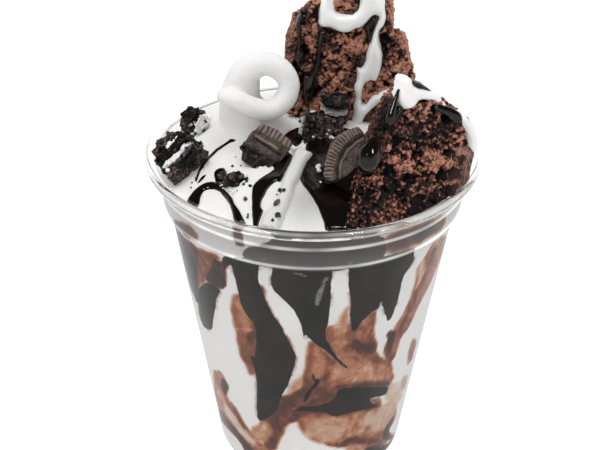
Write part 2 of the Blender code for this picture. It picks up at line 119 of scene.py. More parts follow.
def sight(px, py):
    """Direction from the eye through a pixel of the 600 by 450 frame."""
    across = (px - IMAGE_WIDTH / 2) / FOCAL_PIXELS
    down = (py - IMAGE_HEIGHT / 2) / FOCAL_PIXELS
    return (camera_right * across - camera_up * down - backward).normalized()


print("lens", round(camera_data.lens, 1), "mm, eye at", [round(value) for value in EYE])

# %% [markdown]
# ## Light
# Food is shot under one large soft source overhead, on a white sweep. An even white world
# would do for the cream, but clear plastic and dark sauce show whatever is around them, and
# in such a world both turn milky. So the light path picks what each ray finds. The camera
# finds white, and matte food an even near-white. A reflection finds a pale horizon and a
# dark sky, which keeps the fudge black. A ray bent through plastic finds a grey sky, which
# draws the lines round the clear rim, and a ray that has already left the food finds a
# brighter one, because the wall would otherwise shade the cream behind it.

# %% World
WORLD_FILL = 0.85
HORIZON_GLOSS, SKY_DARK = 0.68, 0.05
SKY_BENT, THROUGH_WALL = 0.35, 1.7
bpy.context.scene.view_settings.view_transform = "Standard"

world = bpy.data.worlds.new("sweep")
world.use_nodes = True
bpy.context.scene.world = world
sky = world.node_tree
sky.nodes.clear()


def grey(value):
    return (value, value, value, 1.0)


def sky_ramp(low, low_grey, high, high_grey):
    """A grey by height, where 0 is level and 1 is straight up."""
    ramp = sky.nodes.new("ShaderNodeValToRGB")
    first, last = ramp.color_ramp.elements
    first.position, first.color = low, grey(low_grey)
    last.position, last.color = high, grey(high_grey)
    return ramp


def sky_mix(first=1.0, second=1.0):
    """A Mix node for two greys; a link made later takes the place of a value."""
    mix = sky.nodes.new("ShaderNodeMix")
    mix.data_type = "RGBA"
    mix.inputs[6].default_value, mix.inputs[7].default_value = grey(first), grey(second)
    return mix


path = sky.nodes.new("ShaderNodeLightPath")
place = sky.nodes.new("ShaderNodeTexCoord")
axes = sky.nodes.new("ShaderNodeSeparateXYZ")
gloss_ramp = sky_ramp(low=0.08, low_grey=HORIZON_GLOSS, high=0.42, high_grey=SKY_DARK)
bent_ramp = sky_ramp(low=0.1, low_grey=1.0, high=0.6, high_grey=SKY_BENT)
fill, inner = sky_mix(first=WORLD_FILL), sky_mix(second=THROUGH_WALL)
bent, seen = sky_mix(), sky_mix()
background = sky.nodes.new("ShaderNodeBackground")
output = sky.nodes.new("ShaderNodeOutputWorld")
for start, end in (
        (place.outputs["Generated"], axes.inputs[0]), (axes.outputs["Z"], gloss_ramp.inputs[0]),
        (path.outputs["Is Glossy Ray"], fill.inputs[0]), (gloss_ramp.outputs[0], fill.inputs[7]),
        (axes.outputs["Z"], bent_ramp.inputs[0]), (bent_ramp.outputs[0], inner.inputs[6]),
        (path.outputs["Diffuse Depth"], inner.inputs[0]), (inner.outputs[2], bent.inputs[7]),
        (path.outputs["Is Transmission Ray"], bent.inputs[0]), (fill.outputs[2], bent.inputs[6]),
        (path.outputs["Is Camera Ray"], seen.inputs[0]), (bent.outputs[2], seen.inputs[6]),
        (seen.outputs[2], background.inputs[0]), (background.outputs[0], output.inputs[0])):
    sky.links.new(start, end)
print("sky nodes:", len(sky.nodes))

# %% [markdown]
# The world alone gives no direction, so one wide panel above the cup, a little to the left,
# shapes the lobes and the curl. It stays out of reflections, where it would lay a grey film
# on the fudge. Two small panels in front do the opposite: they show in reflections alone, as
# the short bright glints on sauce and plastic.

# %% Panels
def panel(name, place, size, power, glint_only=False):
    """A square studio panel at a place in mm, turned towards the food."""
    light = bpy.data.lights.new(name, "AREA")
    light.shape = "SQUARE"
    light.size = size * MM
    light.energy = power
    item = bpy.data.objects.new(name, light)
    bpy.context.scene.collection.objects.link(item)
    aim = Vector((0.0, 0.0, RIM))
    item.matrix_world = Matrix.Translation(Vector(place) * MM) @ \
        (Vector(place) - aim).to_track_quat("Z", "Y").to_matrix().to_4x4()
    item.visible_diffuse = not glint_only
    item.visible_glossy = glint_only
    print(name, round((Vector(place) - aim).length), "mm from the rim")


panel("overhead", (-90.0, 10.0, 780.0), 440.0, 2.2)
panel("left_glint", (-260.0, -420.0, 560.0), 110.0, 1.2, glint_only=True)
panel("right_glint", (240.0, -330.0, 620.0), 110.0, 1.2, glint_only=True)

# %% [markdown]
# ## Finishes as sums
# A finish is a shader with a few nodes in front of it. Written one by one, nodes hide the
# idea, so a wire here can be added and multiplied like a number, and each sum adds its own
# Math node. Colours never pass through these sums: they go through Mix nodes.

# %% Wires
class Wire:
    """An output socket that can stand in a sum: wire * 2, 1 - wire, wire + other."""

    def __init__(self, finish, socket):
        self.finish = finish
        self.socket = socket

    def math(self, operation, first, second):
        return self.finish.node("ShaderNodeMath", {"operation": operation}, {0: first, 1: second})

    def __add__(self, other):
        return self.math("ADD", self, other)

    def __radd__(self, other):
        return self.math("ADD", other, self)

    def __sub__(self, other):
        return self.math("SUBTRACT", self, other)

    def __rsub__(self, other):
        return self.math("SUBTRACT", other, self)

    def __mul__(self, other):
        return self.math("MULTIPLY", self, other)

    def __rmul__(self, other):
        return self.math("MULTIPLY", other, self)

    def step(self, low, high):
        """0 below low, 1 above high, and a smooth rise between."""
        return self.finish.node("ShaderNodeMapRange", {"interpolation_type": "SMOOTHSTEP"},
                                {"Value": self, "From Min": low, "From Max": high})


# %% [markdown]
# A finish is then one material. Values that are the same all over go straight on its
# shader, and every other node comes from one method, so each pattern below is one line:
# cloudy noise, scattered grains, a number stored on the mesh, a blend, a ramp or a bump.

# %% Finishes
GRAIN_BEND = 0.35


class Finish:
    """A material: constants go straight on the shader, and its nodes come from one method."""

    def __init__(self, name, **constants):
        self.material = bpy.data.materials.new(name)
        self.material.use_nodes = True
        self.tree = self.material.node_tree
        self.shader = self.tree.nodes["Principled BSDF"]
        for socket, value in constants.items():
            self.shader.inputs[socket.replace("_", " ")].default_value = value

    def node(self, kind, settings, sockets, output=0):
        """One node with its settings and sockets filled, as the wire that comes out of it."""
        node = self.tree.nodes.new(kind)
        for setting, value in settings.items():
            if setting == "stops":
                fill_ramp(node.color_ramp, value)
            else:
                setattr(node, setting, value)
        for socket, value in sockets.items():
            self.put(node.inputs[socket], value)
        return Wire(self, node.outputs[output])

    def put(self, socket, value):
        """Links a wire to a socket, or sets a plain value on it."""
        if isinstance(value, Wire):
            self.tree.links.new(value.socket, socket)
        else:
            socket.default_value = value

    def surface(self, **sockets):
        """Wires or values for the shader's sockets, by their own names."""
        for socket, value in sockets.items():
            self.put(self.shader.inputs[socket.replace("_", " ")], value)

    def mask(self, name):
        """A number stored on the mesh's points."""
        return self.node("ShaderNodeAttribute", {"attribute_name": name}, {}, "Fac")

    def noise(self, size, detail=2.0, rough=0.5, stretch=(1.0, 1.0, 1.0), swirl=0.0):
        """A cloudy number around 0.5, with lumps of about the given size in mm, swirled if asked."""
        place = self.node("ShaderNodeTexCoord", {}, {}, "Object")
        place = self.node("ShaderNodeVectorMath", {"operation": "MULTIPLY"}, {0: place, 1: stretch})
        return self.node("ShaderNodeTexNoise", {"noise_dimensions": "3D"},
                         {"Vector": place, "Scale": 1.0 / (size * MM), "Detail": detail,
                          "Roughness": rough, "Distortion": swirl})

    def grains(self, size):
        """Distance to the nearest of many scattered grain centres, 0 to about 0.7, bent by noise."""
        place = self.node("ShaderNodeTexCoord", {}, {}, "Object")
        drift = self.node("ShaderNodeTexNoise", {}, {"Vector": place, "Scale": 0.9 / (size * MM)},
                          "Color")
        drift = self.node("ShaderNodeVectorMath", {"operation": "SCALE"},
                          {0: drift, "Scale": GRAIN_BEND * size * MM * 2})
        place = self.node("ShaderNodeVectorMath", {}, {0: place, 1: drift})
        return self.node("ShaderNodeTexVoronoi", {}, {"Vector": place, "Scale": 1.0 / (size * MM)})

    def blend(self, share, first, second):
        """The first colour where share is 0, the second where it is 1."""
        return self.node("ShaderNodeMix", {"data_type": "RGBA"}, {0: share, 6: first, 7: second}, 2)

    def ramp(self, share, *stops):
        return self.node("ShaderNodeValToRGB", {"stops": stops}, {0: share})

    def bump(self, height, depth, strength=1.0, normal=None):
        """A normal for fine relief of the given depth in mm, over another one if given."""
        sockets = {"Height": height, "Distance": depth * MM, "Strength": strength}
        if normal:
            sockets["Normal"] = normal
        return self.node("ShaderNodeBump", {}, sockets)


# %% Ramps and colours
def fill_ramp(ramp, stops):
    while len(ramp.elements) < len(stops):
        ramp.elements.new(0.5)
    for element, (position, colour) in zip(ramp.elements, stops):
        element.position = position
        element.color = colour


def shade(red, green, blue):
    """A colour as a screen shows it, 0 to 255, in the linear numbers that a shader takes."""
    values = [value / 255 for value in (red, green, blue)]
    return tuple(v / 12.92 if v <= 0.04045 else ((v + 0.055) / 1.055) ** 2.4 for v in values) + \
        (1.0,)


print("a grey of 188 on the screen is", round(shade(188, 188, 188)[0], 2), "of white to a shader")

# %% [markdown]
# ## Noise on points
# Crumbs and crags are real relief, so they have to move the mesh. Two noises do it: a
# smooth one for uneven forms and one made of scattered cells for grains. Both hash whole
# numbers, so every run gives the same food.

# %% Noise
def scatter(cells, seed):
    """A random number from 0 to 1 for each row of whole numbers; big odd factors mix them."""
    mixed = cells[..., 0] * 73856093 ^ cells[..., 1] * 19349663
    mixed = mixed ^ cells[..., 2] * 83492791 ^ seed * 26544357
    mixed = (mixed ^ (mixed >> 13)) * 1274126177
    mixed = (mixed ^ (mixed >> 15)) * 668265263
    return ((mixed ^ (mixed >> 16)) & 0xFFFF) / 65535.0


def clouds(points, size, seed, octaves=1):
    """Smooth noise from -1 to 1 with lumps of the given size."""
    total, weight = 0.0, 1.0
    for octave in range(octaves):
        where = points / size * 2.0 ** octave + 31.7 * octave
        cell = np.floor(where).astype(np.int64)
        share = where - cell
        share = share * share * (3.0 - 2.0 * share)
        value = 0.0
        for corner in np.ndindex(2, 2, 2):
            near = np.array(corner)
            weights = np.prod(np.where(near == 1, share, 1.0 - share), axis=-1)
            value = value + weights * scatter(cell + near, seed + octave)
        total = total + (value * 2.0 - 1.0) * weight
        weight *= 0.5
    return total


def pebbles(points, size, seed):
    """Distance to the nearest scattered centre, in cells, and that centre's own random number."""
    where = points / size
    cell = np.floor(where).astype(np.int64)
    nearest = np.full(len(points), 9.0)
    number = np.zeros(len(points))
    for step in np.ndindex(3, 3, 3):
        near = cell + np.array(step) - 1
        centre = near + np.stack([scatter(near, seed + axis) for axis in (0, 1, 2)], axis=-1)
        distance = np.linalg.norm(where - centre, axis=-1)
        closer = distance < nearest
        nearest = np.where(closer, distance, nearest)
        number = np.where(closer, scatter(near, seed + 3), number)
    return nearest, number


def smooth_step(value, low, high):
    """0 below low, 1 above high, and a smooth rise between, for arrays."""
    share = np.clip((value - low) / (high - low), 0.0, 1.0)
    return share * share * (3.0 - 2.0 * share)


sample = np.stack([np.linspace(0.0, 50.0, 500)] * 3, axis=1)
cloud, pebble = clouds(sample, 5.0, 1), pebbles(sample, 5.0, 1)[0]
print("clouds run from", round(float(cloud.min()), 2), "to", round(float(cloud.max()), 2))
print("the nearest pebble is", round(float(pebble.mean()), 2), "cells away on average")

# %% [markdown]
# ## Meshes as arrays
# Most pieces are shaped point by point. These helpers make an object from arrays in
# millimetres, rebuild it with even faces where solids have to melt into one, and read its
# points back to be moved.

# %% Points in and out
def new_piece(name, points, faces):
    """An object from points in mm and faces."""
    mesh = bpy.data.meshes.new(name)
    mesh.from_pydata((np.asarray(points) * MM).tolist(), [], faces)
    mesh.update()
    item = bpy.data.objects.new(name, mesh)
    bpy.context.scene.collection.objects.link(item)
    return item


def bake_modifiers(item):
    """Turns what the modifiers make into the item's own mesh."""
    bpy.context.view_layer.update()
    shape = item.evaluated_get(bpy.context.evaluated_depsgraph_get())
    mesh = bpy.data.meshes.new_from_object(shape)
    item.modifiers.clear()
    item.data = mesh
    return item


def melt(item, voxel, rounds):
    """Rebuilds closed shapes that overlap as one skin with even faces, then softens it."""
    remesh = item.modifiers.new("melt", "REMESH")
    remesh.mode = "VOXEL"
    remesh.voxel_size = voxel * MM
    soften = item.modifiers.new("soften", "SMOOTH")
    soften.iterations = rounds
    return bake_modifiers(item)


def read_points(item):
    """Points in mm and their normals."""
    count = len(item.data.vertices)
    points, normals = np.zeros(count * 3), np.zeros(count * 3)
    item.data.vertices.foreach_get("co", points)
    item.data.vertices.foreach_get("normal", normals)
    return points.reshape(-1, 3) / MM, normals.reshape(-1, 3)


def write_points(item, points):
    item.data.vertices.foreach_set("co", (points * MM).ravel())
    item.data.update()


def store(item, name, values):
    """Keeps one number for each point, for a finish to read."""
    layer = item.data.attributes.new(name, "FLOAT", "POINT")
    layer.data.foreach_set("value", np.asarray(values, dtype=np.float32))


# %% [markdown]
# A finished piece is filed on the frame: it rides with the one body, and the solids that it
# stands for are hidden.

# %% Serve a piece
def serve(item, finish, slot, *nodes):
    """Gives the piece its finish, smooth shading, body and the solids that it replaces; slot is not
    used.
    """
    item.data.materials.clear()
    item.data.materials.append(finish.material)
    item.data.shade_smooth()
    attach(item, "root")
    if nodes:
        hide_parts(*nodes)
    item.data.calc_loop_triangles()
    print(item.name, len(item.data.loop_triangles), "triangles")
    return item


print("body that everything rides on: root, with", len(frame["nodes"]), "solids to stand for")

# %% [markdown]
# Two more helpers are shared. A search tree finds where a line meets a piece, and a turned
# shape is a profile spun round the upright axis, as cups and necks of cream are.

# %% Search trees and turned shapes
def tree_of(item):
    """A search tree of the item's faces, in mm."""
    points, _ = read_points(item)
    faces = [tuple(face.vertices) for face in item.data.polygons]
    return BVHTree.FromPolygons([tuple(point) for point in points], faces)


def lathed(name, profile, sides):
    """A profile of (radius, height) turned round Z; it starts and ends on the axis or closes."""
    angles = np.arange(sides) * 2 * math.pi / sides
    points, rings = [], []
    for radius, height in profile:
        if radius < 1e-6:
            rings.append([len(points)] * sides)
            points.append((0.0, 0.0, height))
        else:
            rings.append(list(range(len(points), len(points) + sides)))
            points += [(radius * math.cos(a), radius * math.sin(a), height) for a in angles]
    faces = []
    for low, high in zip(rings, rings[1:]):
        for i in range(sides):
            j = (i + 1) % sides
            corners = [low[i], low[j], high[j], high[i]]
            faces.append(tuple(dict.fromkeys(corners)))
    return new_piece(name, points, faces)


# %% [markdown]
# ## The clear cup
# A cold cup is drawn from one clear sheet: a rolled lip, a stiff upper band with a bead and a
# shoulder where cups stack, a plain tapered wall and a recessed foot. It is a turned shape,
# so its profile is enough, but each corner is rounded first: sharp corners catch no light,
# and the bright lines round a clear rim are what the eye reads as plastic.

# %% Cup
LIP_RADIUS, RIM_RADIUS = 1.4, 49.0
LIP_STEPS = 24
CORNER_REACH = 0.7
CUP_SIDES = 288


def rounded(corners, reach, steps=4):
    """The path with each corner replaced by a small curve that starts reach before it."""
    corners = [np.array(corner, dtype=float) for corner in corners]
    route = [corners[0]]
    for before, corner, after in zip(corners, corners[1:], corners[2:]):
        back, on = before - corner, after - corner
        span = min(reach, 0.45 * np.linalg.norm(back), 0.45 * np.linalg.norm(on))
        start = corner + back / np.linalg.norm(back) * span
        end = corner + on / np.linalg.norm(on) * span
        for step in range(steps + 1):
            t = step / steps
            route.append((1 - t) ** 2 * start + 2 * t * (1 - t) * corner + t * t * end)
    return route + [corners[-1]]


# (radius, height): outside from the lip down to the foot, then inside from the base up
OUTER = [
    (46.0, 96.5), (45.6, 93.1), (45.85, 92.7), (45.7, 92.1), (44.8, 91.4), (44.15, 86.2),
    (44.35, 85.8), (44.2, 85.3), (42.6, 84.2), (42.2, 83.4), (27.9, 2.6), (27.3, 0.8),
    (26.5, 0.0), (24.7, 0.0), (23.9, 1.3), (0.0, 1.3),
]
INNER = [
    (0.0, 1.9), (26.3, 1.9), (27.3, 3.3), (41.6, 83.6), (43.4, 85.4), (44.1, 91.4), (44.9, 92.3),
    (45.4, 96.5),
]
lip = []
for step in range(LIP_STEPS + 1):
    angle = math.radians(180.0 - 270.0 * step / LIP_STEPS)
    lip.append((RIM_RADIUS - LIP_RADIUS + LIP_RADIUS * math.cos(angle),
                RIM - LIP_RADIUS + LIP_RADIUS * math.sin(angle)))
profile = rounded(INNER + lip[:1], CORNER_REACH) + lip[1:-1]
profile += rounded(lip[-1:] + OUTER, CORNER_REACH)
cup = lathed("cup_clear", profile[::-1], CUP_SIDES)
print("cup profile:", len(profile), "points, turned in", CUP_SIDES, "steps")

# %% [markdown]
# The lip, the bead and the shoulder are drawn thinner than the rest and gather light from all
# round, so they show as pale rings. Tracing that light through solid plastic would take very
# many rays. Instead these rings are marked on the points and glow a little, a bit unevenly:
# a painted highlight that stands in for the light they catch.

# %% Rings of painted highlight and clear plastic
# rings of painted highlight round the lip, the bead and the shoulder
PAINTED_HIGHLIGHT_RINGS = (
    # radius, height, half-width, strength
    (RIM_RADIUS - 0.4, RIM - 0.5, 0.5, 0.55),
    (RIM_RADIUS - 0.1, RIM - 2.4, 0.4, 0.4),
    (45.9, 92.6, 0.55, 0.75),
    (44.4, 85.7, 0.55, 0.85),
)
points, _ = read_points(cup)
radius, height = np.hypot(points[:, 0], points[:, 1]), points[:, 2]
glow = np.zeros(len(points))
for ring_radius, ring_height, half_width, strength in PAINTED_HIGHLIGHT_RINGS:
    gap = np.hypot(radius - ring_radius, height - ring_height)
    glow = np.maximum(glow, strength * smooth_step(half_width * 1.5 - gap, 0.0, half_width))
uneven = 0.75 + 0.5 * clouds(points, 9.0, 5, 2)
store(cup, "glow", np.clip(glow * uneven, 0.0, 1.0))

clear = Finish("clear_plastic", Base_Color=(0.97, 0.975, 0.975, 1.0), Roughness=0.04, IOR=1.42,
               Transmission_Weight=1.0, Emission_Strength=1.0)
# painted highlight: the marked rings glow a pale grey through the clear plastic
ring_highlight_tone = clear.blend(clear.mask("glow"), shade(0, 0, 0), shade(214, 214, 214))
clear.surface(Emission_Color=ring_highlight_tone)
serve(cup, clear, "clear_plastic", "cup")

# %% [markdown]
# ## Outlines laid on the food
# Sauces and streaks have edges that no rule gives: they were read off the shot as corners, and
# here each outline is laid on its surface along the lines of sight. Inside it every point gets
# its distance to the edge in millimetres, positive inside, which stays crisp on a coarse mesh.

# %% Signed distance
FAR = 8.0
KEPT, CUT = 0.82, 0.18


def eased(outline):
    """The outline with its corners cut a little, so that it runs in curves."""
    corners = np.asarray(outline, dtype=float)
    after = np.roll(corners, -1, axis=0)
    pairs = np.stack([KEPT * corners + CUT * after, CUT * corners + KEPT * after], axis=1)
    return pairs.reshape(-1, 2)


def edge_distance(points, outlines):
    """Distance in mm from each plane point to the nearest outline's edge, positive inside one."""
    best = np.full(len(points), -FAR)
    for outline in outlines:
        corners = eased(outline)
        low, high = corners.min(axis=0) - FAR, corners.max(axis=0) + FAR
        close = np.nonzero(((points > low) & (points < high)).all(axis=1))[0]
        near = points[close]
        inside = np.zeros(len(near), dtype=bool)
        nearest = np.full(len(near), FAR)
        for a, b in zip(corners, np.roll(corners, -1, axis=0)):
            run = b - a
            share = np.clip(((near - a) @ run) / max(run @ run, 1e-9), 0.0, 1.0)
            nearest = np.minimum(nearest, np.linalg.norm(near - a - share[:, None] * run, axis=1))
            crosses = (a[1] > near[:, 1]) != (b[1] > near[:, 1])
            side = a[0] + (near[:, 1] - a[1]) / (run[1] if abs(run[1]) > 1e-9 else 1e-9) * run[0]
            inside ^= crosses & (near[:, 0] < side)
        best[close] = np.maximum(best[close], np.where(inside, nearest, -nearest))
    return best


square = [(0.0, 0.0), (10.0, 0.0), (10.0, 10.0), (0.0, 10.0)]
middle = edge_distance(np.array([[5.0, 5.0]]), [square])[0]
print("the middle of a 10 mm square is", round(float(middle), 1), "mm inside its edge")

# %% [markdown]
# The cream fills the cup right up to its wall. Its outer side therefore follows the inside of
# the cup, a tenth of a millimetre into the plastic, so that no air shows between the two. A
# place on it is told by how far round from the front it is, and how high.

# %% The filling's wall
FILL_BOTTOM, FILL_TOP = 1.8, 96.5
FILL_HEIGHTS = (FILL_BOTTOM, 3.3, 83.6, 85.4, 91.4, 92.3, FILL_TOP)
FILL_RADII = (26.4, 27.4, 41.7, 43.5, 44.2, 45.0, 45.5)
WALL_REACH = np.arange(500.0, 675.0, 0.25)


def fill_radius(height):
    """Radius of the filling at a height."""
    return np.interp(height, FILL_HEIGHTS, FILL_RADII)


def on_wall(px, py):
    """(way round from the front in mm, height in mm) where a line of sight meets the filling."""
    spots = np.array(EYE) + np.outer(WALL_REACH, sight(px, py))
    gaps = np.hypot(spots[:, 0], spots[:, 1]) - fill_radius(spots[:, 2])
    x, y, z = spots[np.argmax(gaps < 0.0) if gaps.min() < 0.0 else np.argmin(gaps)]
    return math.atan2(x, -y) * float(fill_radius(z)), z


print("pixel 300, 350 lies", round(on_wall(300, 350)[1]), "mm up the wall")

# %% [markdown]
# ## Marbling seen through the wall
# Fudge ran down inside the cup before the soft serve went in, and where the two were
# pushed together they smeared to every brown from milk to cocoa. The outlines below are in
# pixels of the shot. Fudge keeps a hard edge, so it has outlines of its own. The smears are
# painted one over another, each with its share of cocoa and the softness of its edge, so a
# later one can lie over an earlier one as it does in the cup.

# %% Streak outlines
WALL_FUDGE = (
    # tongue at the left edge
    [(175, 223.3), (183.3, 233.3), (188.3, 248.3), (194.2, 255), (198.3, 270), (198.3, 286.7),
     (200, 300.8), (197.5, 301.7), (194.2, 288.3), (188.3, 270), (181.7, 248.3), (177.5, 233.3)],
    # drop below it
    [(200, 288.3), (205, 283.3), (209.2, 281.7), (221.7, 289.2), (217, 298.3), (216.3, 308.3),
     (214.2, 318.3), (213.3, 328.3), (209.2, 328.7), (204.2, 325), (200.8, 315), (199.7, 301.7)],
    # long tongue left of the middle
    [(223.3, 255), (243.3, 256.7), (259.2, 260), (258.7, 270.8), (258.3, 280), (262, 290),
     (266.7, 301.7), (273.3, 315), (283.3, 328.3), (282.5, 330), (288.8, 340), (296.2, 355),
     (295, 362.5), (290, 380), (281.2, 396.2), (277.5, 410), (270, 416.2), (261.2, 420.2),
     (258.1, 417.5), (257.5, 405), (258.1, 388.8), (256.2, 371.2), (251.2, 355), (255, 356.9),
     (256.9, 348.8), (256.9, 330), (256.7, 328.3), (254.2, 321.7), (246.7, 313.3), (241.7, 303.3),
     (239.2, 291.7), (236.7, 280), (234.2, 271.7), (232, 263.3), (228.3, 265), (224.7, 270),
     (223.3, 263.3)],
    # broad curtain that ends in a hook
    [(273.3, 257.5), (300, 265), (332, 266.7), (331.7, 271.7), (330.8, 285), (330, 305),
     (327.5, 323.3), (325, 330), (326.7, 338.3), (325, 337.5), (333.8, 352.5), (347.2, 366.2),
     (346.2, 368.1), (337.5, 361.2), (325, 348.8), (313.8, 341.9), (303.1, 330), (305, 338.3),
     (300.8, 321.7), (295, 310), (283.3, 298.3), (274.2, 290), (271.3, 281.7), (272.5, 273.3)],
    # jagged curtain on the right
    [(349.2, 263.3), (378.3, 257.5), (396.7, 252.5), (413.3, 246.7), (413, 252.5), (413.3, 260),
     (403.3, 273.3), (400, 285), (398.3, 293.3), (395, 305), (391.7, 315), (387.5, 321.7),
     (383.3, 308.3), (380.8, 299.2), (377.5, 308.3), (371.7, 310.8), (363.3, 318.3), (355, 330),
     (352, 330), (350, 318.3), (350.8, 298.3), (348.3, 285)],
    # dark bar low in the middle
    [(338.8, 387.5), (365, 386.2), (388.1, 386.2), (385, 393.8), (375, 396.2), (368.1, 397.5),
     (370, 401.9), (378.1, 405.4), (362.5, 409), (350, 411.2), (333.8, 416.2), (325, 411.2),
     (302.5, 410), (293.8, 410.6), (300, 406), (318.8, 405), (330, 401.2), (335, 397.5)],
    # thin crack in the brown
    [(311, 371.2), (313.8, 373.8), (315, 378.1), (320.6, 380), (316.9, 385), (310.6, 391.2),
     (306.9, 400), (303.1, 401.2), (306.9, 391.2), (312.5, 385), (316.2, 381.2), (313.1, 378.8)],
    # behind the band under the rim
    [(265, 243.3), (276.7, 235), (283.3, 236.7), (333.3, 240), (383.3, 233.3), (386.7, 253.3),
     (363.3, 265), (331.7, 270.8), (300, 270), (266.7, 265.8), (253.3, 263.3), (243.3, 255),
     (245, 248.3)],
)
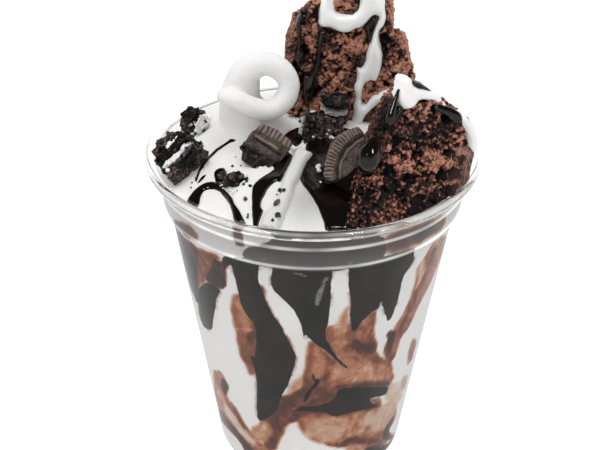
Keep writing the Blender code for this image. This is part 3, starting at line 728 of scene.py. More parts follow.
MARBLE = (
    # share of cocoa, softness of the edge in mm, outline
    (0.8, 1.2, [(175, 223.3), (200, 246.7), (201.7, 265), (200, 301.7), (191.7, 285), (183.3, 256.7)]),
    (0.55, 1, [(198.3, 245.8), (221.7, 255), (213.3, 265), (208.3, 281.7), (200, 283.3), (200, 265)]),
    (0.86, 0.5, [(213.3, 258.7), (228.3, 263.3), (225.3, 281.7), (221.7, 290), (208.3, 282),
     (210.8, 270)]),
    (0.5, 1.1, [(232.8, 295), (240, 293.3), (245, 305), (256.7, 318.3), (260, 345), (258.3, 368.3),
     (250, 375), (243.3, 358.3), (239.2, 338.3), (235, 315)]),
    (0.4, 0.8, [(233.3, 298.3), (238.3, 301.7), (243.3, 321.7), (248.3, 341.7), (243.3, 341.7),
     (238.3, 323.3)]),
    (0.66, 0.7, [(248.3, 315), (258.3, 321.7), (259.2, 358.3), (254.2, 370), (251.7, 341.7)]),
    (0.78, 0.5, [(257.5, 281.7), (265, 286.7), (266.7, 301.7), (272.5, 315), (283.3, 328.3),
     (289.2, 345), (283.3, 346.7), (270, 321.7), (263.3, 308.3)]),
    (0.7, 0.5, [(282.5, 330), (288.8, 335), (296.2, 348.8), (297.8, 360), (295, 363.8), (292.5, 352.5),
     (287.5, 342.5)]),
    (0.6, 0.5, [(306.9, 341.2), (313.8, 342.5), (325, 351.2), (346.2, 366.2), (337.5, 387.5),
     (315, 405), (300, 405), (302.5, 388.8), (304.4, 367.5)]),
    (0.66, 1.1, [(316.2, 367.5), (345, 368.8), (337.5, 380), (321.2, 380)]),
    (0.48, 0.7, [(325, 325), (345, 322.5), (346.2, 342.5), (356.2, 353.8), (377.5, 366.2),
     (393.1, 372.5), (388.8, 386.9), (346.2, 388.1), (322.5, 388.8), (320, 380), (340, 371.2),
     (347.5, 367.5), (333.8, 352.5), (323.8, 337.5)]),
    (0.36, 1.4, [(340, 356.2), (356.2, 360), (377.5, 372.5), (367.5, 378.8), (347.5, 371.2)]),
    (0.4, 1.2, [(327.5, 332.5), (342.5, 331.2), (345, 343.8), (352.5, 357.5), (337.5, 352.5),
     (328.8, 341.2)]),
    (0.55, 0.8, [(345, 322.5), (371.2, 322.5), (375, 341.2), (385, 357.5), (392.5, 371.2),
     (377.5, 363.8), (356.2, 352.5), (346.2, 342.5)]),
    (0.8, 1, [(353.8, 340), (358.8, 337.5), (370, 343.8), (375, 351.2), (356.2, 348.8)]),
    (0.62, 0.8, [(362.5, 381.2), (375, 377.5), (388.8, 380), (387.5, 386.9), (362.5, 387.5)]),
    (0.66, 0.8, [(350, 273.3), (376.7, 263.3), (383.3, 293.3), (371.7, 310), (358.3, 323.3),
     (351.7, 308.3)]),
    (0.5, 0.5, [(360, 323.3), (371.7, 311.7), (376.7, 310), (374.2, 328.3), (373.3, 341.7),
     (358.3, 341.7)]),
    (0.02, 0.3, [(380.8, 300), (385.3, 315), (387.5, 331.7), (386.7, 341.7), (390, 353.3), (400, 365),
     (404.2, 375), (396.7, 368.3), (383.3, 358.3), (375, 346.7), (373.3, 330), (377.5, 310)]),
    (0.05, 1.4, [(290, 330), (303.1, 330), (308.1, 341.2), (305, 356.2), (303.1, 371.2), (298.8, 380),
     (293.8, 382.5), (296.2, 365), (297.5, 355), (292.5, 341.2)]),
    (0.32, 1.4, [(293.8, 380), (303.8, 373.8), (301.2, 388.8), (290, 397.5), (287.5, 392.5)]),
    (0.62, 0.6, [(292.5, 405), (310, 386.2), (340, 383.8), (347.5, 390), (330, 407.5), (302.5, 412.5)]),
    (0.6, 0.6, [(320, 407.5), (377.5, 400), (382.5, 410), (352.5, 417.5), (327.5, 420)]),
    (0.66, 0.6, [(281.2, 396.2), (291.2, 392.5), (310, 386.2), (315, 405), (300, 405), (285, 412.5),
     (265, 420), (277.5, 411.2)]),
    (0.5, 0.7, [(368.8, 396.9), (380.6, 396.9), (381.2, 407.5), (375, 403.8)]),
    (0.68, 0.8, [(260, 421.9), (280, 411.2), (302.5, 408.8), (321.2, 410), (330, 416.2), (297.5, 420),
     (287.5, 425), (280, 442.5), (277.5, 450), (267.5, 450), (263.8, 435)]),
    (0.42, 1, [(297.5, 417.5), (315, 411.2), (333.8, 416.2), (352.5, 412.5), (356.2, 425), (355, 435),
     (340, 443.8), (325, 442.5), (315, 441.2), (300, 430)]),
    (0.58, 0.8, [(315, 411.2), (351.2, 410), (340, 417.5), (328.8, 421.2), (316.2, 416.2)]),
    (0.3, 1, [(351.2, 411.2), (377.5, 406.2), (395, 400), (395, 415), (386.2, 430), (382.5, 445),
     (371.2, 447.5), (357.5, 436.2), (352.5, 425)]),
    (0.55, 0.9, [(362.5, 420), (371.2, 421.2), (370, 430), (363.8, 428.8)]),
    (0.44, 0.6, [(365, 432.5), (382.5, 430), (387.5, 437.5), (382.5, 446.2), (371.2, 447.5),
     (362.5, 440)]),
    (0.7, 0.5, [(321.2, 437.5), (328.8, 443.1), (340, 443.1), (355, 434.4), (362.5, 438.8),
     (371.2, 446.9), (356.2, 441.9), (345, 445.6), (328.8, 446.2)]),
    (0.36, 0.5, [(343.8, 445.6), (356.2, 441.5), (371.2, 446.9), (363.8, 448.8), (347.5, 451.2)]),
    (0.02, 1.3, [(285, 427.5), (297.5, 436.2), (320, 445.6), (345, 447.5), (350, 455), (277.5, 455),
     (280.6, 437.5)]),
    (0.38, 1, [(253.8, 425), (265, 421.2), (270, 430), (267.5, 442.5), (260, 440), (253.8, 432.5)]),
    (0.92, 0.4, [(388.8, 415), (392.8, 417.5), (386.2, 430), (390, 434.4), (393.1, 433.8),
     (387.5, 438.1), (381.9, 436.2), (382.5, 430)]),
    (0.95, 0.5, [(393.1, 435), (390, 443.8), (380, 455), (356.2, 455), (365, 448.1), (382.5, 445.6)]),
    (0.42, 0.5, [(443.3, 235), (433.3, 240), (425, 256.7), (414.2, 271.7), (413.3, 290), (400, 315),
     (391.7, 328.3), (396.7, 335), (405, 330), (416.7, 308.3), (425, 290), (437.5, 261.7),
     (445, 238.3)]),
    (0.2, 0.4, [(423.3, 258.3), (425, 261.7), (418.7, 285), (415, 288.3), (416.7, 273.3)]),
    (0.55, 0.4, [(433.3, 245), (436.7, 248.3), (423.3, 281.7), (410, 308.3), (400, 330), (396.7, 330),
     (410, 301.7), (423.3, 271.7)]),
    (0.6, 0.4, [(390, 330), (400, 330), (396.7, 345), (392.5, 358.3), (386.7, 365), (383.3, 348.3),
     (386.7, 336.7)]),
    (0.9, 0.3, [(386.9, 330), (395, 330), (392.8, 348.8), (390, 355), (385.6, 342.5)]),
    (0.52, 0.4, [(395, 330), (403.1, 328.8), (396.2, 346.2), (391.5, 356.2), (390, 352.5),
     (393.1, 342.5)]),
    (0.55, 1, [(410, 340), (413.8, 343.8), (411.9, 355), (405.6, 365), (406.2, 353.8)]),
    (0.3, 1.1, [(401.2, 376.2), (406.2, 376.2), (402.5, 390), (397.5, 388.8)]),
    (0.16, 1.3, [(385, 382.5), (400, 380), (400, 400), (385, 402.5)]),
    (0.45, 0.5, [(214.4, 371.2), (218.8, 369.4), (223.8, 375), (229.4, 385), (227.5, 396.2), (235, 405),
     (245, 422.5), (255, 435), (270, 450), (270, 455), (252.5, 455), (245, 441.2), (227.5, 425),
     (220.6, 410), (216.5, 392.5)]),
    (0.82, 0.6, [(220.6, 407.5), (227.5, 417.5), (240, 430), (252.5, 446.2), (260, 455), (250, 455),
     (242.5, 441.2), (227.5, 425), (221.2, 415)]),
    (0.3, 0.5, [(216.9, 382.5), (221.2, 390), (227.5, 403.8), (225, 405), (219.4, 396.2)]),
    (0.9, 0.5, [(221.2, 375.6), (225.6, 380), (229, 386.2), (226.2, 395.6), (222.8, 386.2)]),
    (0.6, 0.3, [(226.2, 396.2), (233.8, 405), (243.8, 422.5), (250, 430), (247.5, 430), (237.5, 416.2),
     (227.5, 402.5)]),
    (0.4, 0.3, [(226.2, 395.6), (233.1, 403.8), (233.1, 410), (242.5, 425), (250, 433.8),
     (247.5, 431.9), (236.2, 417.5), (225.6, 401.9)]),
    (0.27, 1.6, [(235.9, 297.8), (243.4, 297.8), (252.1, 315), (253.8, 328.8), (247.6, 332.2),
     (240, 318.4)]),
    (0.68, 1.2, [(246.9, 335.7), (256.6, 328.8), (256.6, 349.5), (252.1, 352.9)]),
    (0.34, 1.6, [(312.4, 346), (319.3, 351.2), (327.9, 363.3), (319.3, 377.1), (310.7, 366.7)]),
    (0.3, 1.4, [(338.3, 318.4), (346.9, 305.3), (349, 318.4), (346.9, 332.2), (331.7, 334)]),
    (0.3, 1.8, [(343.4, 358.1), (360.7, 359.8), (386.6, 370.2), (390, 377.1), (364.1, 380.5),
     (333.1, 379.8), (329.7, 371.9)]),
    (0.74, 1.2, [(338.3, 384.7), (381.4, 380.5), (390.3, 383.3), (381.4, 387.1), (340, 389.5)]),
    (0.72, 1.2, [(312.4, 382.2), (315.2, 387.4), (302.1, 401.2), (284.8, 413.3), (281.4, 408.1),
     (295.2, 396)]),
    (0.24, 1.8, [(312.4, 418.4), (333.1, 413.3), (346.9, 418.4), (343.4, 432.2), (326.2, 440.9),
     (309, 435.7), (302.1, 426)]),
    (0.34, 1.4, [(346.9, 418.4), (360.7, 415), (364.1, 421.9), (355.5, 435.7), (346.9, 435.7)]),
    (0.2, 1.6, [(364.1, 411.6), (381.4, 408.1), (391.7, 401.2), (393.4, 411.6), (384.8, 425.3),
     (371, 430.5), (362.4, 425.3)]),
    (0.14, 1, [(224.5, 402.9), (230.3, 408.1), (243.4, 427.1), (259, 445.3), (253.8, 445.3),
     (236.6, 425.3), (225.5, 411.6)]),
    (0.3, 1.2, [(261.4, 421.9), (268.3, 418.4), (272.8, 428.8), (265.9, 440.9), (259, 435.7)]),
    (0.6, 1, [(360.7, 434), (370.3, 439.1), (381.4, 440.9), (374.5, 445.3), (364.1, 442.6)]),
    (0.94, 0.5, [(235, 228.3), (243.3, 229.2), (244.2, 245.8), (235.8, 244.2)]),
    (0.7, 1.2, [(383.3, 235), (413.3, 225), (443.3, 215), (443.3, 225), (416.7, 241.7),
     (386.7, 253.3)]),
    (0.88, 1, [(416.7, 230), (426.7, 225), (433.3, 228.3), (416.7, 245)]),
    (0.8, 1, [(173.3, 218.3), (190, 225), (200, 236.7), (186.7, 236.7)]),
)
WALL_CLEAR = (
    # cream that shows through thin places in the fudge
    [(326.7, 275.8), (329.2, 276.7), (324.2, 286.7), (321.7, 298.3), (317.5, 307), (314.2, 305.8),
     (315, 296.7), (320, 286.7), (323.3, 278.3)],
    [(288.3, 270.8), (305, 272.5), (310, 278.3), (306.7, 276.7), (295, 273.7)],
    [(346.7, 265), (349.2, 260), (352.5, 259.2), (352.5, 263.3), (348.3, 265.5)],
    [(260.8, 260), (266.7, 255.8), (275, 257.5), (266.7, 257), (262, 260.8)],
)
print("outlines on the wall:", len(WALL_FUDGE), "of fudge,", len(MARBLE), "of smears,",
      len(WALL_CLEAR), "of cream showing through")

# %% [markdown]
# ## Soft serve
# Soft serve piles up in slow lobes. The top is a height for every place in the cup: a low
# dome, four lobes towards the viewer and the flare of the piped neck. The body is then
# one turned grid, with fine rings on the wall for the streaks and on the top for the lobes.

# %% Soft serve
FILL_DROP, DOME_RISE, DOME_RADIUS = 3.0, 9.0, 45.1
LOBES = (
    # centre x, y, long half-size, short half-size, spin in degrees, rise
    (-20.0, -30.0, 10.0, 5.0, 65.0, 2.6),
    (-9.0, -33.0, 9.0, 3.6, 80.0, 1.6),
    (-2.0, -34.0, 10.0, 4.6, 112.0, 2.4),
    (-30.0, -14.0, 9.0, 6.0, 20.0, 1.6),
)
NECK_AXIS = np.array((-17.8, 2.0))
FLARE_RADII = (8.6, 10.2, 12.2, 14.5, 18.0, 24.0)
FLARE_HEIGHTS = (8.6, 7.4, 4.6, 1.5, -3.0, -12.0)
FILLET = 2.5


def serve_height(x, y):
    """Height of the soft serve above the rim plane, in mm."""
    share = np.minimum(1.0, np.hypot(x, y) / DOME_RADIUS)
    height = -FILL_DROP + DOME_RISE * (1.0 - share * share)
    for cx, cy, long, short, spin, rise in LOBES:
        angle = math.radians(spin)
        along = (x - cx) * math.cos(angle) + (y - cy) * math.sin(angle)
        across = (y - cy) * math.cos(angle) - (x - cx) * math.sin(angle)
        lobe = rise * np.exp(-(along / long) ** 2 - (across / short) ** 2)
        height = height + lobe * (1.0 - share ** 6)
    flare = np.interp(np.hypot(x - NECK_AXIS[0], y - NECK_AXIS[1]), FLARE_RADII, FLARE_HEIGHTS)
    reach = np.maximum(FILLET - np.abs(height - flare), 0.0) / FILLET
    return np.maximum(height, flare) + reach * reach * FILLET / 4


print("the cream at the neck's foot is", round(float(serve_height(-17.8, 12.2)), 1), "mm over the rim")

# %% Body of cream
FILL_SIDES = 320
RING_GAP = 0.8
TOP_EDGE = 45.3
foot_heights = np.linspace(FILL_BOTTOM, FILL_HEIGHTS[1], 3)[:-1]
side_heights = np.arange(FILL_HEIGHTS[1], 96.0, RING_GAP)
wall_heights = np.concatenate([foot_heights, side_heights, [FILL_TOP]])
top_radii = np.concatenate([np.arange(DOME_RADIUS, 1.0, -RING_GAP), [0.0]])
profile = [(0.0, FILL_BOTTOM), (14.0, FILL_BOTTOM)]
profile += [(float(fill_radius(z)), z) for z in wall_heights]
soft_serve = lathed("soft_serve", profile + [(r, FILL_TOP) for r in top_radii], FILL_SIDES)
points, _ = read_points(soft_serve)
radius = np.hypot(points[:, 0], points[:, 1])
on_top = (points[:, 2] > FILL_TOP - 0.1) & (radius < TOP_EDGE)
points[on_top, 2] = RIM + serve_height(points[on_top, 0], points[on_top, 1])
write_points(soft_serve, points)
print("body of cream:", len(points), "points,", int(on_top.sum()), "of them on top")

# %% [markdown]
# ## Streaks laid on the body
# The wall is unrolled into a flat picture, so that each outline can be compared with every
# point. The shot shows only the front half. The back half repeats it in mirror image, turned
# by a slow wave and slid down a little. Both changes grow slowly from the sides, so there is
# no seam and the back doesn't look like a copy.

# %% Fudge on the wall
around = np.degrees(np.arctan2(points[:, 0], -points[:, 1]))
behind = smooth_step(np.abs(around), 88.0, 130.0)
folded = np.where(np.abs(around) > 90.0, np.sign(around) * (180.0 - np.abs(around)), around)
height = np.minimum(points[:, 2], FILL_TOP - 0.5)
folded = folded + behind * 20.0 * np.sin(height / 15.0 + 0.6)
spread = np.stack([np.radians(folded) * fill_radius(height), height + behind * 7.0], axis=1)
inward = np.where(on_top, TOP_EDGE - radius, 0.0)


def on_the_wall(outlines):
    """Outlines of pixels as places on the unrolled wall."""
    return [[on_wall(px, py) for px, py in outline] for outline in outlines]


for name, outlines in (("fudge", WALL_FUDGE), ("clear", WALL_CLEAR)):
    values = edge_distance(spread, on_the_wall(outlines)) - inward * 1.2
    store(soft_serve, name, np.clip(values, -FAR, FAR))
    print(name, "covers", round(100 * float((values > 0).mean()), 1), "% of the points")

# %% [markdown]
# The smears follow, each laid over those before it with a soft edge that noise has shaken.
# Two more numbers go on the points. One marks the band of cream behind the stiff top of the
# cup, which is greyed there as painted shade, and the other a painted soft shadow under the
# front of the pile.

# %% Smears, band and shadow
SHADOW_PLACE, SHADOW_REACH = (-1.5, -34.0), (6.5, 8.0)
cocoa = np.full(len(points), 0.02)
drift = 0.8 * np.stack([clouds(points, 6.0, 21, 2), clouds(points, 6.0, 22, 2)], axis=1)
for share, soft, outline in MARBLE:
    inside = edge_distance(spread + drift, on_the_wall([outline]))
    cover = smooth_step(inside + 0.15, -0.9 * soft, 0.9 * soft)
    cocoa = cocoa * (1.0 - cover) + share * cover
store(soft_serve, "cocoa", cocoa * (1.0 - smooth_step(inward, 0.2, 1.6)))
# painted shade: marks the band of cream behind the cup's stiff top, to be greyed
store(soft_serve, "band", smooth_step(height, 83.0, 85.5) * (1 - on_top))
shadow = np.hypot((points[:, 0] - SHADOW_PLACE[0]) / SHADOW_REACH[0],
                  (points[:, 1] - SHADOW_PLACE[1]) / SHADOW_REACH[1])
store(soft_serve, "shadow", on_top * np.exp(-shadow ** 2))
print("mean share of cocoa:", round(float(cocoa.mean()), 2))

# %% [markdown]
# ## The finish of marbled cream
# Cream is a soft white with a frosty grain, and lets a little light in. The painted share of
# cocoa is shaken by streaks, swirls and frost, and turned into a colour from milk to cocoa.
# The fudge's stored distance is bent by noise and cut hard, with a brown fringe where it has
# begun to melt in. Over that come the glimpses of cream through thin fudge, and then the band
# and the soft shadow, both painted shade. Frost and streaks also dent the light with a bump, as
# both are too fine for the mesh.

# %% Cream finish
CREAM = shade(237, 236, 235)
cream = Finish("marbled_cream", Roughness=0.5, Specular_IOR_Level=0.2, Subsurface_Weight=0.1,
               Subsurface_Scale=0.0015)
cream.shader.inputs["Subsurface Radius"].default_value = (1.0, 0.95, 0.9)
wobble = cream.noise(2.6, 5.0, 0.65) - 0.5
streaks = cream.noise(4.5, 5.0, 0.6, (1.0, 1.0, 0.5), swirl=1.2) - 0.5
frost = cream.noise(0.5, 4.0, 0.7) - 0.5
cocoa = cream.mask("cocoa")
swirls = cream.noise(9.0, 3.0, 0.55, swirl=2.0) - 0.5
shaken = cocoa + (streaks * 0.5 + swirls * 0.6 + frost * 0.35) * cocoa.step(0.02, 0.4)
tint = cream.ramp(shaken, (0.04, CREAM), (0.17, shade(210, 186, 168)), (0.3, shade(192, 136, 102)),
                  (0.46, shade(152, 86, 56)), (0.64, shade(98, 46, 29)), (0.84, shade(46, 25, 19)),
                  (1.0, shade(22, 15, 13)))
edge = cream.mask("fudge")
fudge_share = (edge + wobble).step(-0.22, 0.05)
fringe = (edge + wobble * 1.2).step(-1.3, 0.0) * cream.noise(5.0, 2.0).step(0.46, 0.58)
tint = cream.blend(fringe * 0.65, tint, shade(112, 64, 48))
thickness = cream.noise(9.0, 3.0).step(0.4, 0.7)
tint = cream.blend(fudge_share, tint, cream.blend(thickness, shade(20, 16, 14), shade(40, 29, 25)))
glimpse = (cream.mask("clear") + wobble * 0.9).step(-0.15, 0.3) * frost.step(-0.12, 0.1)
tint = cream.blend(glimpse * 0.7, tint, shade(170, 166, 162))
# painted shade: the band behind the cup's stiff top is greyed
tint = cream.blend(cream.mask("band") * 0.4, tint, shade(116, 111, 107))
tint = cream.blend(cream.mask("shadow") * 0.7, tint, shade(150, 150, 150))
tint = cream.blend(frost.step(-0.2, 0.25) * (1.0 - fudge_share) * 0.1, tint, shade(180, 179, 178))
grain = cream.bump(frost * (1.0 - fudge_share), 0.28, 1.0)
cream.surface(Base_Color=tint, Normal=cream.bump(streaks * (1.0 - fudge_share), 0.4, 0.35, grain))
serve(soft_serve, cream, "soft_serve", "soft_serve")

# %% [markdown]
# ## The curl
# The nozzle leaves a tall neck whose tip falls over into a loop and lies across the front.
# A row of balls along the route of the tip, melted together with the turned neck, gives
# the soft joints that frozen cream has where it touches itself.

# %% Route of the tip and profile of the neck
CURL_ROUTE = (
    # x, y, z above the rim, radius
    (-18.2, 2.5, 5.6, 9.4), (-20.6, 3.0, 11.2, 6.8), (-21.2, 3.0, 15.4, 6.0),
    (-20.6, 3.0, 19.6, 5.3), (-19.2, 2.2, 24.3, 4.4), (-14.2, 1.0, 27.4, 3.7),
    (-9.3, 0.0, 25.7, 3.4), (-7.0, -1.0, 21.8, 3.2), (-8.1, -2.5, 17.7, 3.2),
    (-11.8, -4.0, 15.1, 3.1), (-16.7, -5.2, 16.2, 3.0), (-21.5, -5.2, 18.6, 2.9),
    (-24.6, -3.8, 19.2, 2.6), (-26.0, -2.2, 18.6, 2.0),
)
NECK_PROFILE = (
    # radius, height above the rim
    (0.0, 11.6), (5.4, 11.0), (8.2, 9.6), (9.8, 7.6), (11.2, 4.8), (12.4, 1.5), (12.4, -3.0),
    (0.0, -3.0),
)


def smooth_route(stops, gap):
    """Rows on a smooth curve through every stop, about gap mm apart."""
    stops = np.asarray(stops, dtype=float)
    padded = np.vstack([2 * stops[0] - stops[1], stops, 2 * stops[-1] - stops[-2]])
    route = []
    for a, b, c, d in zip(padded, padded[1:], padded[2:], padded[3:]):
        steps = max(1, int(np.linalg.norm((c - b)[:3]) / gap))
        for t in np.arange(steps) / steps:
            route.append(0.5 * (2 * b + (c - a) * t + (2 * a - 5 * b + 4 * c - d) * t * t
                                + (3 * b - a - 3 * c + d) * t ** 3))
    return np.array(route + [stops[-1]])


route = smooth_route(CURL_ROUTE, 0.8)
print("the tip's route:", len(route), "places from", len(CURL_ROUTE), "stops")

# %% [markdown]
# Balls come back in many pieces below: as beads along a strand of sauce, as clumps on a
# broken cookie and, squashed and roughened, as crumbs. So one helper makes any number of
# them as one mesh, and another puts several meshes together.

# %% Balls and joined meshes
def ball_shape(detail):
    body = bmesh.new()
    bmesh.ops.create_icosphere(body, subdivisions=detail, radius=1.0)
    corners = np.array([tuple(vertex.co) for vertex in body.verts])
    faces = np.array([[vertex.index for vertex in face.verts] for face in body.faces])
    body.free()
    return corners, faces


def balls(name, centres, radii, flat=None, detail=2):
    """Many balls as one mesh; flat is (directions, share), which squashes each along its own."""
    corners, faces = ball_shape(detail)
    points = centres[:, None, :] + corners[None] * np.asarray(radii)[:, None, None]
    if flat is not None:
        ways, share = flat
        lift = np.einsum("bki,bi->bk", points - centres[:, None, :], ways)
        points = points - (lift * (1.0 - share))[..., None] * ways[:, None, :]
    count = len(centres)
    rows = faces[None] + (np.arange(count) * len(corners))[:, None, None]
    return new_piece(name, points.reshape(-1, 3), rows.reshape(-1, 3).tolist())


def joined(items, name):
    """One object of several, with their meshes put together."""
    points, faces, start = [], [], 0
    for item in items:
        own, _ = read_points(item)
        points.append(own)
        faces += [tuple(index + start for index in face.vertices) for face in item.data.polygons]
        start += len(own)
        bpy.data.objects.remove(item, do_unlink=True)
    return new_piece(name, np.vstack(points), faces)


print("a ball has", len(ball_shape(2)[1]), "faces, a fine one", len(ball_shape(3)[1]))

# %% Curl
CURL_VOXEL = 0.55
tip = balls("tip", route[:, :3] + (0.0, 0.0, RIM), route[:, 3], detail=3)
neck = lathed("neck", [(r, z + RIM) for r, z in rounded(NECK_PROFILE, 1.5)], 64)
neck_points, _ = read_points(neck)
neck_points[:, :2] += NECK_AXIS
write_points(neck, neck_points)
curl = melt(joined([tip, neck], "soft_serve_curl"), CURL_VOXEL, rounds=10)
serve(curl, cream, "soft_serve", "soft_serve")
for name, value in (("fudge", -FAR), ("clear", -FAR), ("cocoa", 0.0), ("band", 0.0)):
    store(curl, name, np.full(len(curl.data.vertices), value))

# %% [markdown]
# ## Poured sauce
# Sauce that lies on something keeps the outline that the shot shows. So first the places of
# that outline are found where its lines of sight meet a plane in the food, or the soft
# serve's own top.

# %% Places in the food
SERVE_REACH = np.arange(0.0, 80.0, 0.2)
SERVE_CEILING = 24.0


def frame_at(place, turn):
    """A plane in the food: its place in mm above the rim, turned by degrees about X, Y and Z."""
    x, y, z = place
    spin = Euler([math.radians(angle) for angle in turn]).to_matrix().to_4x4()
    return Matrix.Translation(Vector((x, y, z + RIM))) @ spin


def on_plane(px, py, plane, lift):
    """Where a line of sight meets the plane lifted by lift, in the plane's own u and v."""
    back = plane.inverted()
    eye, way = back @ EYE, back.to_3x3() @ sight(px, py)
    spot = eye + way * ((lift - eye.z) / way.z)
    return spot.x, spot.y


def on_serve(px, py, lift):
    """Where a line of sight meets the soft serve lifted by lift, in x and y."""
    way = sight(px, py)
    start = (RIM + SERVE_CEILING - EYE.z) / way.z
    spots = np.array(EYE) + np.outer(start + SERVE_REACH, way)
    sunk = spots[:, 2] - RIM < serve_height(spots[:, 0], spots[:, 1]) + lift
    return tuple(spots[np.argmax(sunk), :2])


print("pixel 300, 200 lies at", [round(float(value), 1) for value in on_serve(300, 200, 0.0)])

# %% [markdown]
# Sauce is a thin sheet with a full, rounded edge. Each sheet is made as a height over a
# plane: nothing outside its outline, and inside it a quarter round that rises to the sheet's
# thickness. The edge dips below the food, so the line where they meet is the outline itself,
# and the sheet gets a hidden underside to close it.

# %% Poured sheets
SHEET_SEED, SHEET_BACK = 7, 1.0
MARGIN, HEM = 1.5, 0.7
EDGE_LUMPS, SHEET_LUMPS = 2.2, 4.5


def poured(name, outlines, plane, base, thick, edge, cell=0.4, sink=1.2, ragged=0.2, keep=None):
    """A sheet over the plane, inside outlines in u and v. base gives the food's height."""
    corners = np.vstack([np.asarray(outline) for outline in outlines])
    low, high = corners.min(axis=0) - MARGIN, corners.max(axis=0) + MARGIN
    us, vs = np.arange(low[0], high[0], cell), np.arange(low[1], high[1], cell)
    u, v = [axis.ravel() for axis in np.meshgrid(us, vs)]
    flat = np.stack([u, v, np.full_like(u, 3.0)], axis=1)
    inside = edge_distance(flat[:, :2], outlines) + ragged * clouds(flat, EDGE_LUMPS, SHEET_SEED)
    share = np.clip(inside / edge, 0.0, 1.0)
    uneven = 1.0 + 0.16 * clouds(flat, SHEET_LUMPS, SHEET_SEED + 5)
    rise = thick * np.sqrt(1.0 - (1.0 - share) ** 2) * uneven
    rise = np.where(inside < 0.0, -sink * np.clip(-inside / 0.5, 0.0, 1.0), rise)
    kept = inside > -HEM
    if keep is not None:
        kept &= keep(u, v)
    points = np.stack([u, v, base(u, v) + rise], axis=1)
    wide = len(us)
    grid = kept.reshape(len(vs), wide)
    cells = grid[:-1, :-1] & grid[1:, :-1] & grid[:-1, 1:] & grid[1:, 1:]
    rows, columns = np.nonzero(cells)
    first = rows * wide + columns
    quads = np.stack([first, first + 1, first + wide + 1, first + wide], axis=1)
    used, quads = np.unique(quads, return_inverse=True)
    item = new_piece(name, points[used], quads.reshape(-1, 4).tolist())
    close = item.modifiers.new("close", "SOLIDIFY")
    close.thickness = SHEET_BACK * MM
    close.offset = -1.0
    bake_modifiers(item)
    own, _ = read_points(item)
    moved = np.array([tuple(plane @ Vector(point)) for point in own])
    write_points(item, moved)
    return item


# %% [markdown]
# ## Hot fudge on the cream
# The fudge pooled in the hollow before the right hand brownie and ran off to the left in
# narrow streams between the lobes. It's almost black, and so glossy that its shape shows only
# in the reflections along its rounded edges.

# %% Fudge outlines
POOL = [
    (306.4, 158.2), (303.8, 164), (301.6, 169.9), (299.1, 175.8), (302.4, 183.1), (308.2, 190.4),
    (313.4, 197), (317.8, 204.4), (321.4, 213.2), (324.4, 221.2), (325.5, 230.1), (350.1, 228.6),
    (354.5, 222.7), (354.5, 186), (360.3, 165.5), (366.2, 142), (350.1, 127.3), (320.7, 127.3),
    (310.4, 139.1), (304.6, 144.2),
]
CAP = [
    (283.3, 135), (287, 131), (291.4, 128.8), (295.8, 127.7), (300.2, 127), (302.4, 133.2),
    (303.1, 136.9), (301.6, 141.3), (298.3, 144.2), (296.1, 145.3), (294.3, 144.6), (290.6, 140.9),
    (287.7, 139.4), (284, 137.6),
]
STREAM = [
    (291.4, 153.7), (293.6, 155.2), (291.4, 159.6), (288.4, 164.8), (285.5, 170.6), (281.8, 178),
    (280, 181.3), (278.2, 179.6), (275.2, 180.3), (270.8, 183.8), (267.1, 188.2), (264.2, 193.4),
    (262, 197.8), (260.9, 202.9), (261.3, 207.3), (262.9, 209.5), (262.4, 212.8), (260.5, 217.2),
    (258.3, 222.3), (257.6, 228.6), (253.2, 227.9), (253.1, 221.2), (252.5, 215.4), (251.6, 204.4),
    (251.4, 193.4), (252.5, 186), (254.3, 182.4), (259.1, 178), (264.2, 175), (269.3, 172.1),
    (274.5, 167.7), (269.3, 158.2), (281.1, 150.8), (288.4, 150.8),
]
ARC = [
    (186.3, 201.1), (188.4, 197.1), (194, 189.8), (198.9, 184.9), (206, 181.4), (214.4, 180.7),
    (218.6, 184.2), (224.2, 188.4), (229.8, 194), (234, 201.1), (238.2, 208.1), (243.2, 216.5),
    (246, 223.5), (235.4, 222.1), (232.9, 216.5), (231.9, 210.9), (229.8, 203.9), (225.6, 196.8),
    (220, 190.5), (214.4, 187.7), (208.8, 187.7), (203.9, 189.8), (201.1, 194.7), (199.6, 201.1),
    (198.2, 206),
]
PATCH = [
    (214.1, 170.9), (218.6, 167.4), (224.2, 167.1), (226.3, 170.2), (228, 175.8), (229.4, 180.7),
    (224.2, 182.1), (218.6, 184.2), (215.8, 181.4), (214.1, 175.8),
]
THREAD = [
    (231.2, 138.5), (237.4, 140.1), (229.8, 142.7), (223.1, 146.6), (216.8, 150.9), (211.2, 156.4),
    (205.1, 163.4), (200.1, 171.3), (196.8, 181.4), (194.5, 180.7), (198.4, 169.1), (203.6, 161.2),
    (209.6, 154), (215.2, 148.4), (221.8, 144.4), (227.7, 141.3),
]
FLECK = [
    (196.1, 183.5), (201.8, 175.5), (206.7, 173.3), (203.9, 177.9), (200.4, 181.4),
]
RIBBON = [
    (288.8, 140.2), (290.6, 140.9), (294.3, 144.6), (296.1, 145.3), (298.7, 143.5), (301.3, 139.8),
    (302.4, 144.2), (306, 147.1), (309.3, 150.1), (313.4, 149.7), (312.3, 151.9), (309, 155.2),
    (306.4, 158.2), (303.8, 164), (301.6, 169.9), (299.4, 174.3), (295.8, 178.7), (293.9, 183.8),
    (292.5, 190.4), (289.9, 197.8), (287, 204.4), (284, 211), (281.8, 216.8), (279.6, 222.7),
    (276.7, 230.1), (256.1, 228.6), (259.1, 222.3), (262, 214.6), (264.2, 209.1), (269.3, 205.8),
    (273, 202.2), (276.7, 196.3), (278.9, 190.4), (280, 186), (280.7, 178.7), (284, 172.1),
    (287, 165.5), (289.9, 158.2), (292.5, 154.5), (291, 153.4), (293.6, 149.3), (294.7, 147.1),
    (291.4, 143.5), (289, 141.4),
]
THICK_FUDGE, THIN_FUDGE = (POOL, CAP, STREAM, ARC, PATCH), (THREAD, FLECK)
print("fudge outlines:", len(THICK_FUDGE), "thick and", len(THIN_FUDGE), "thin")

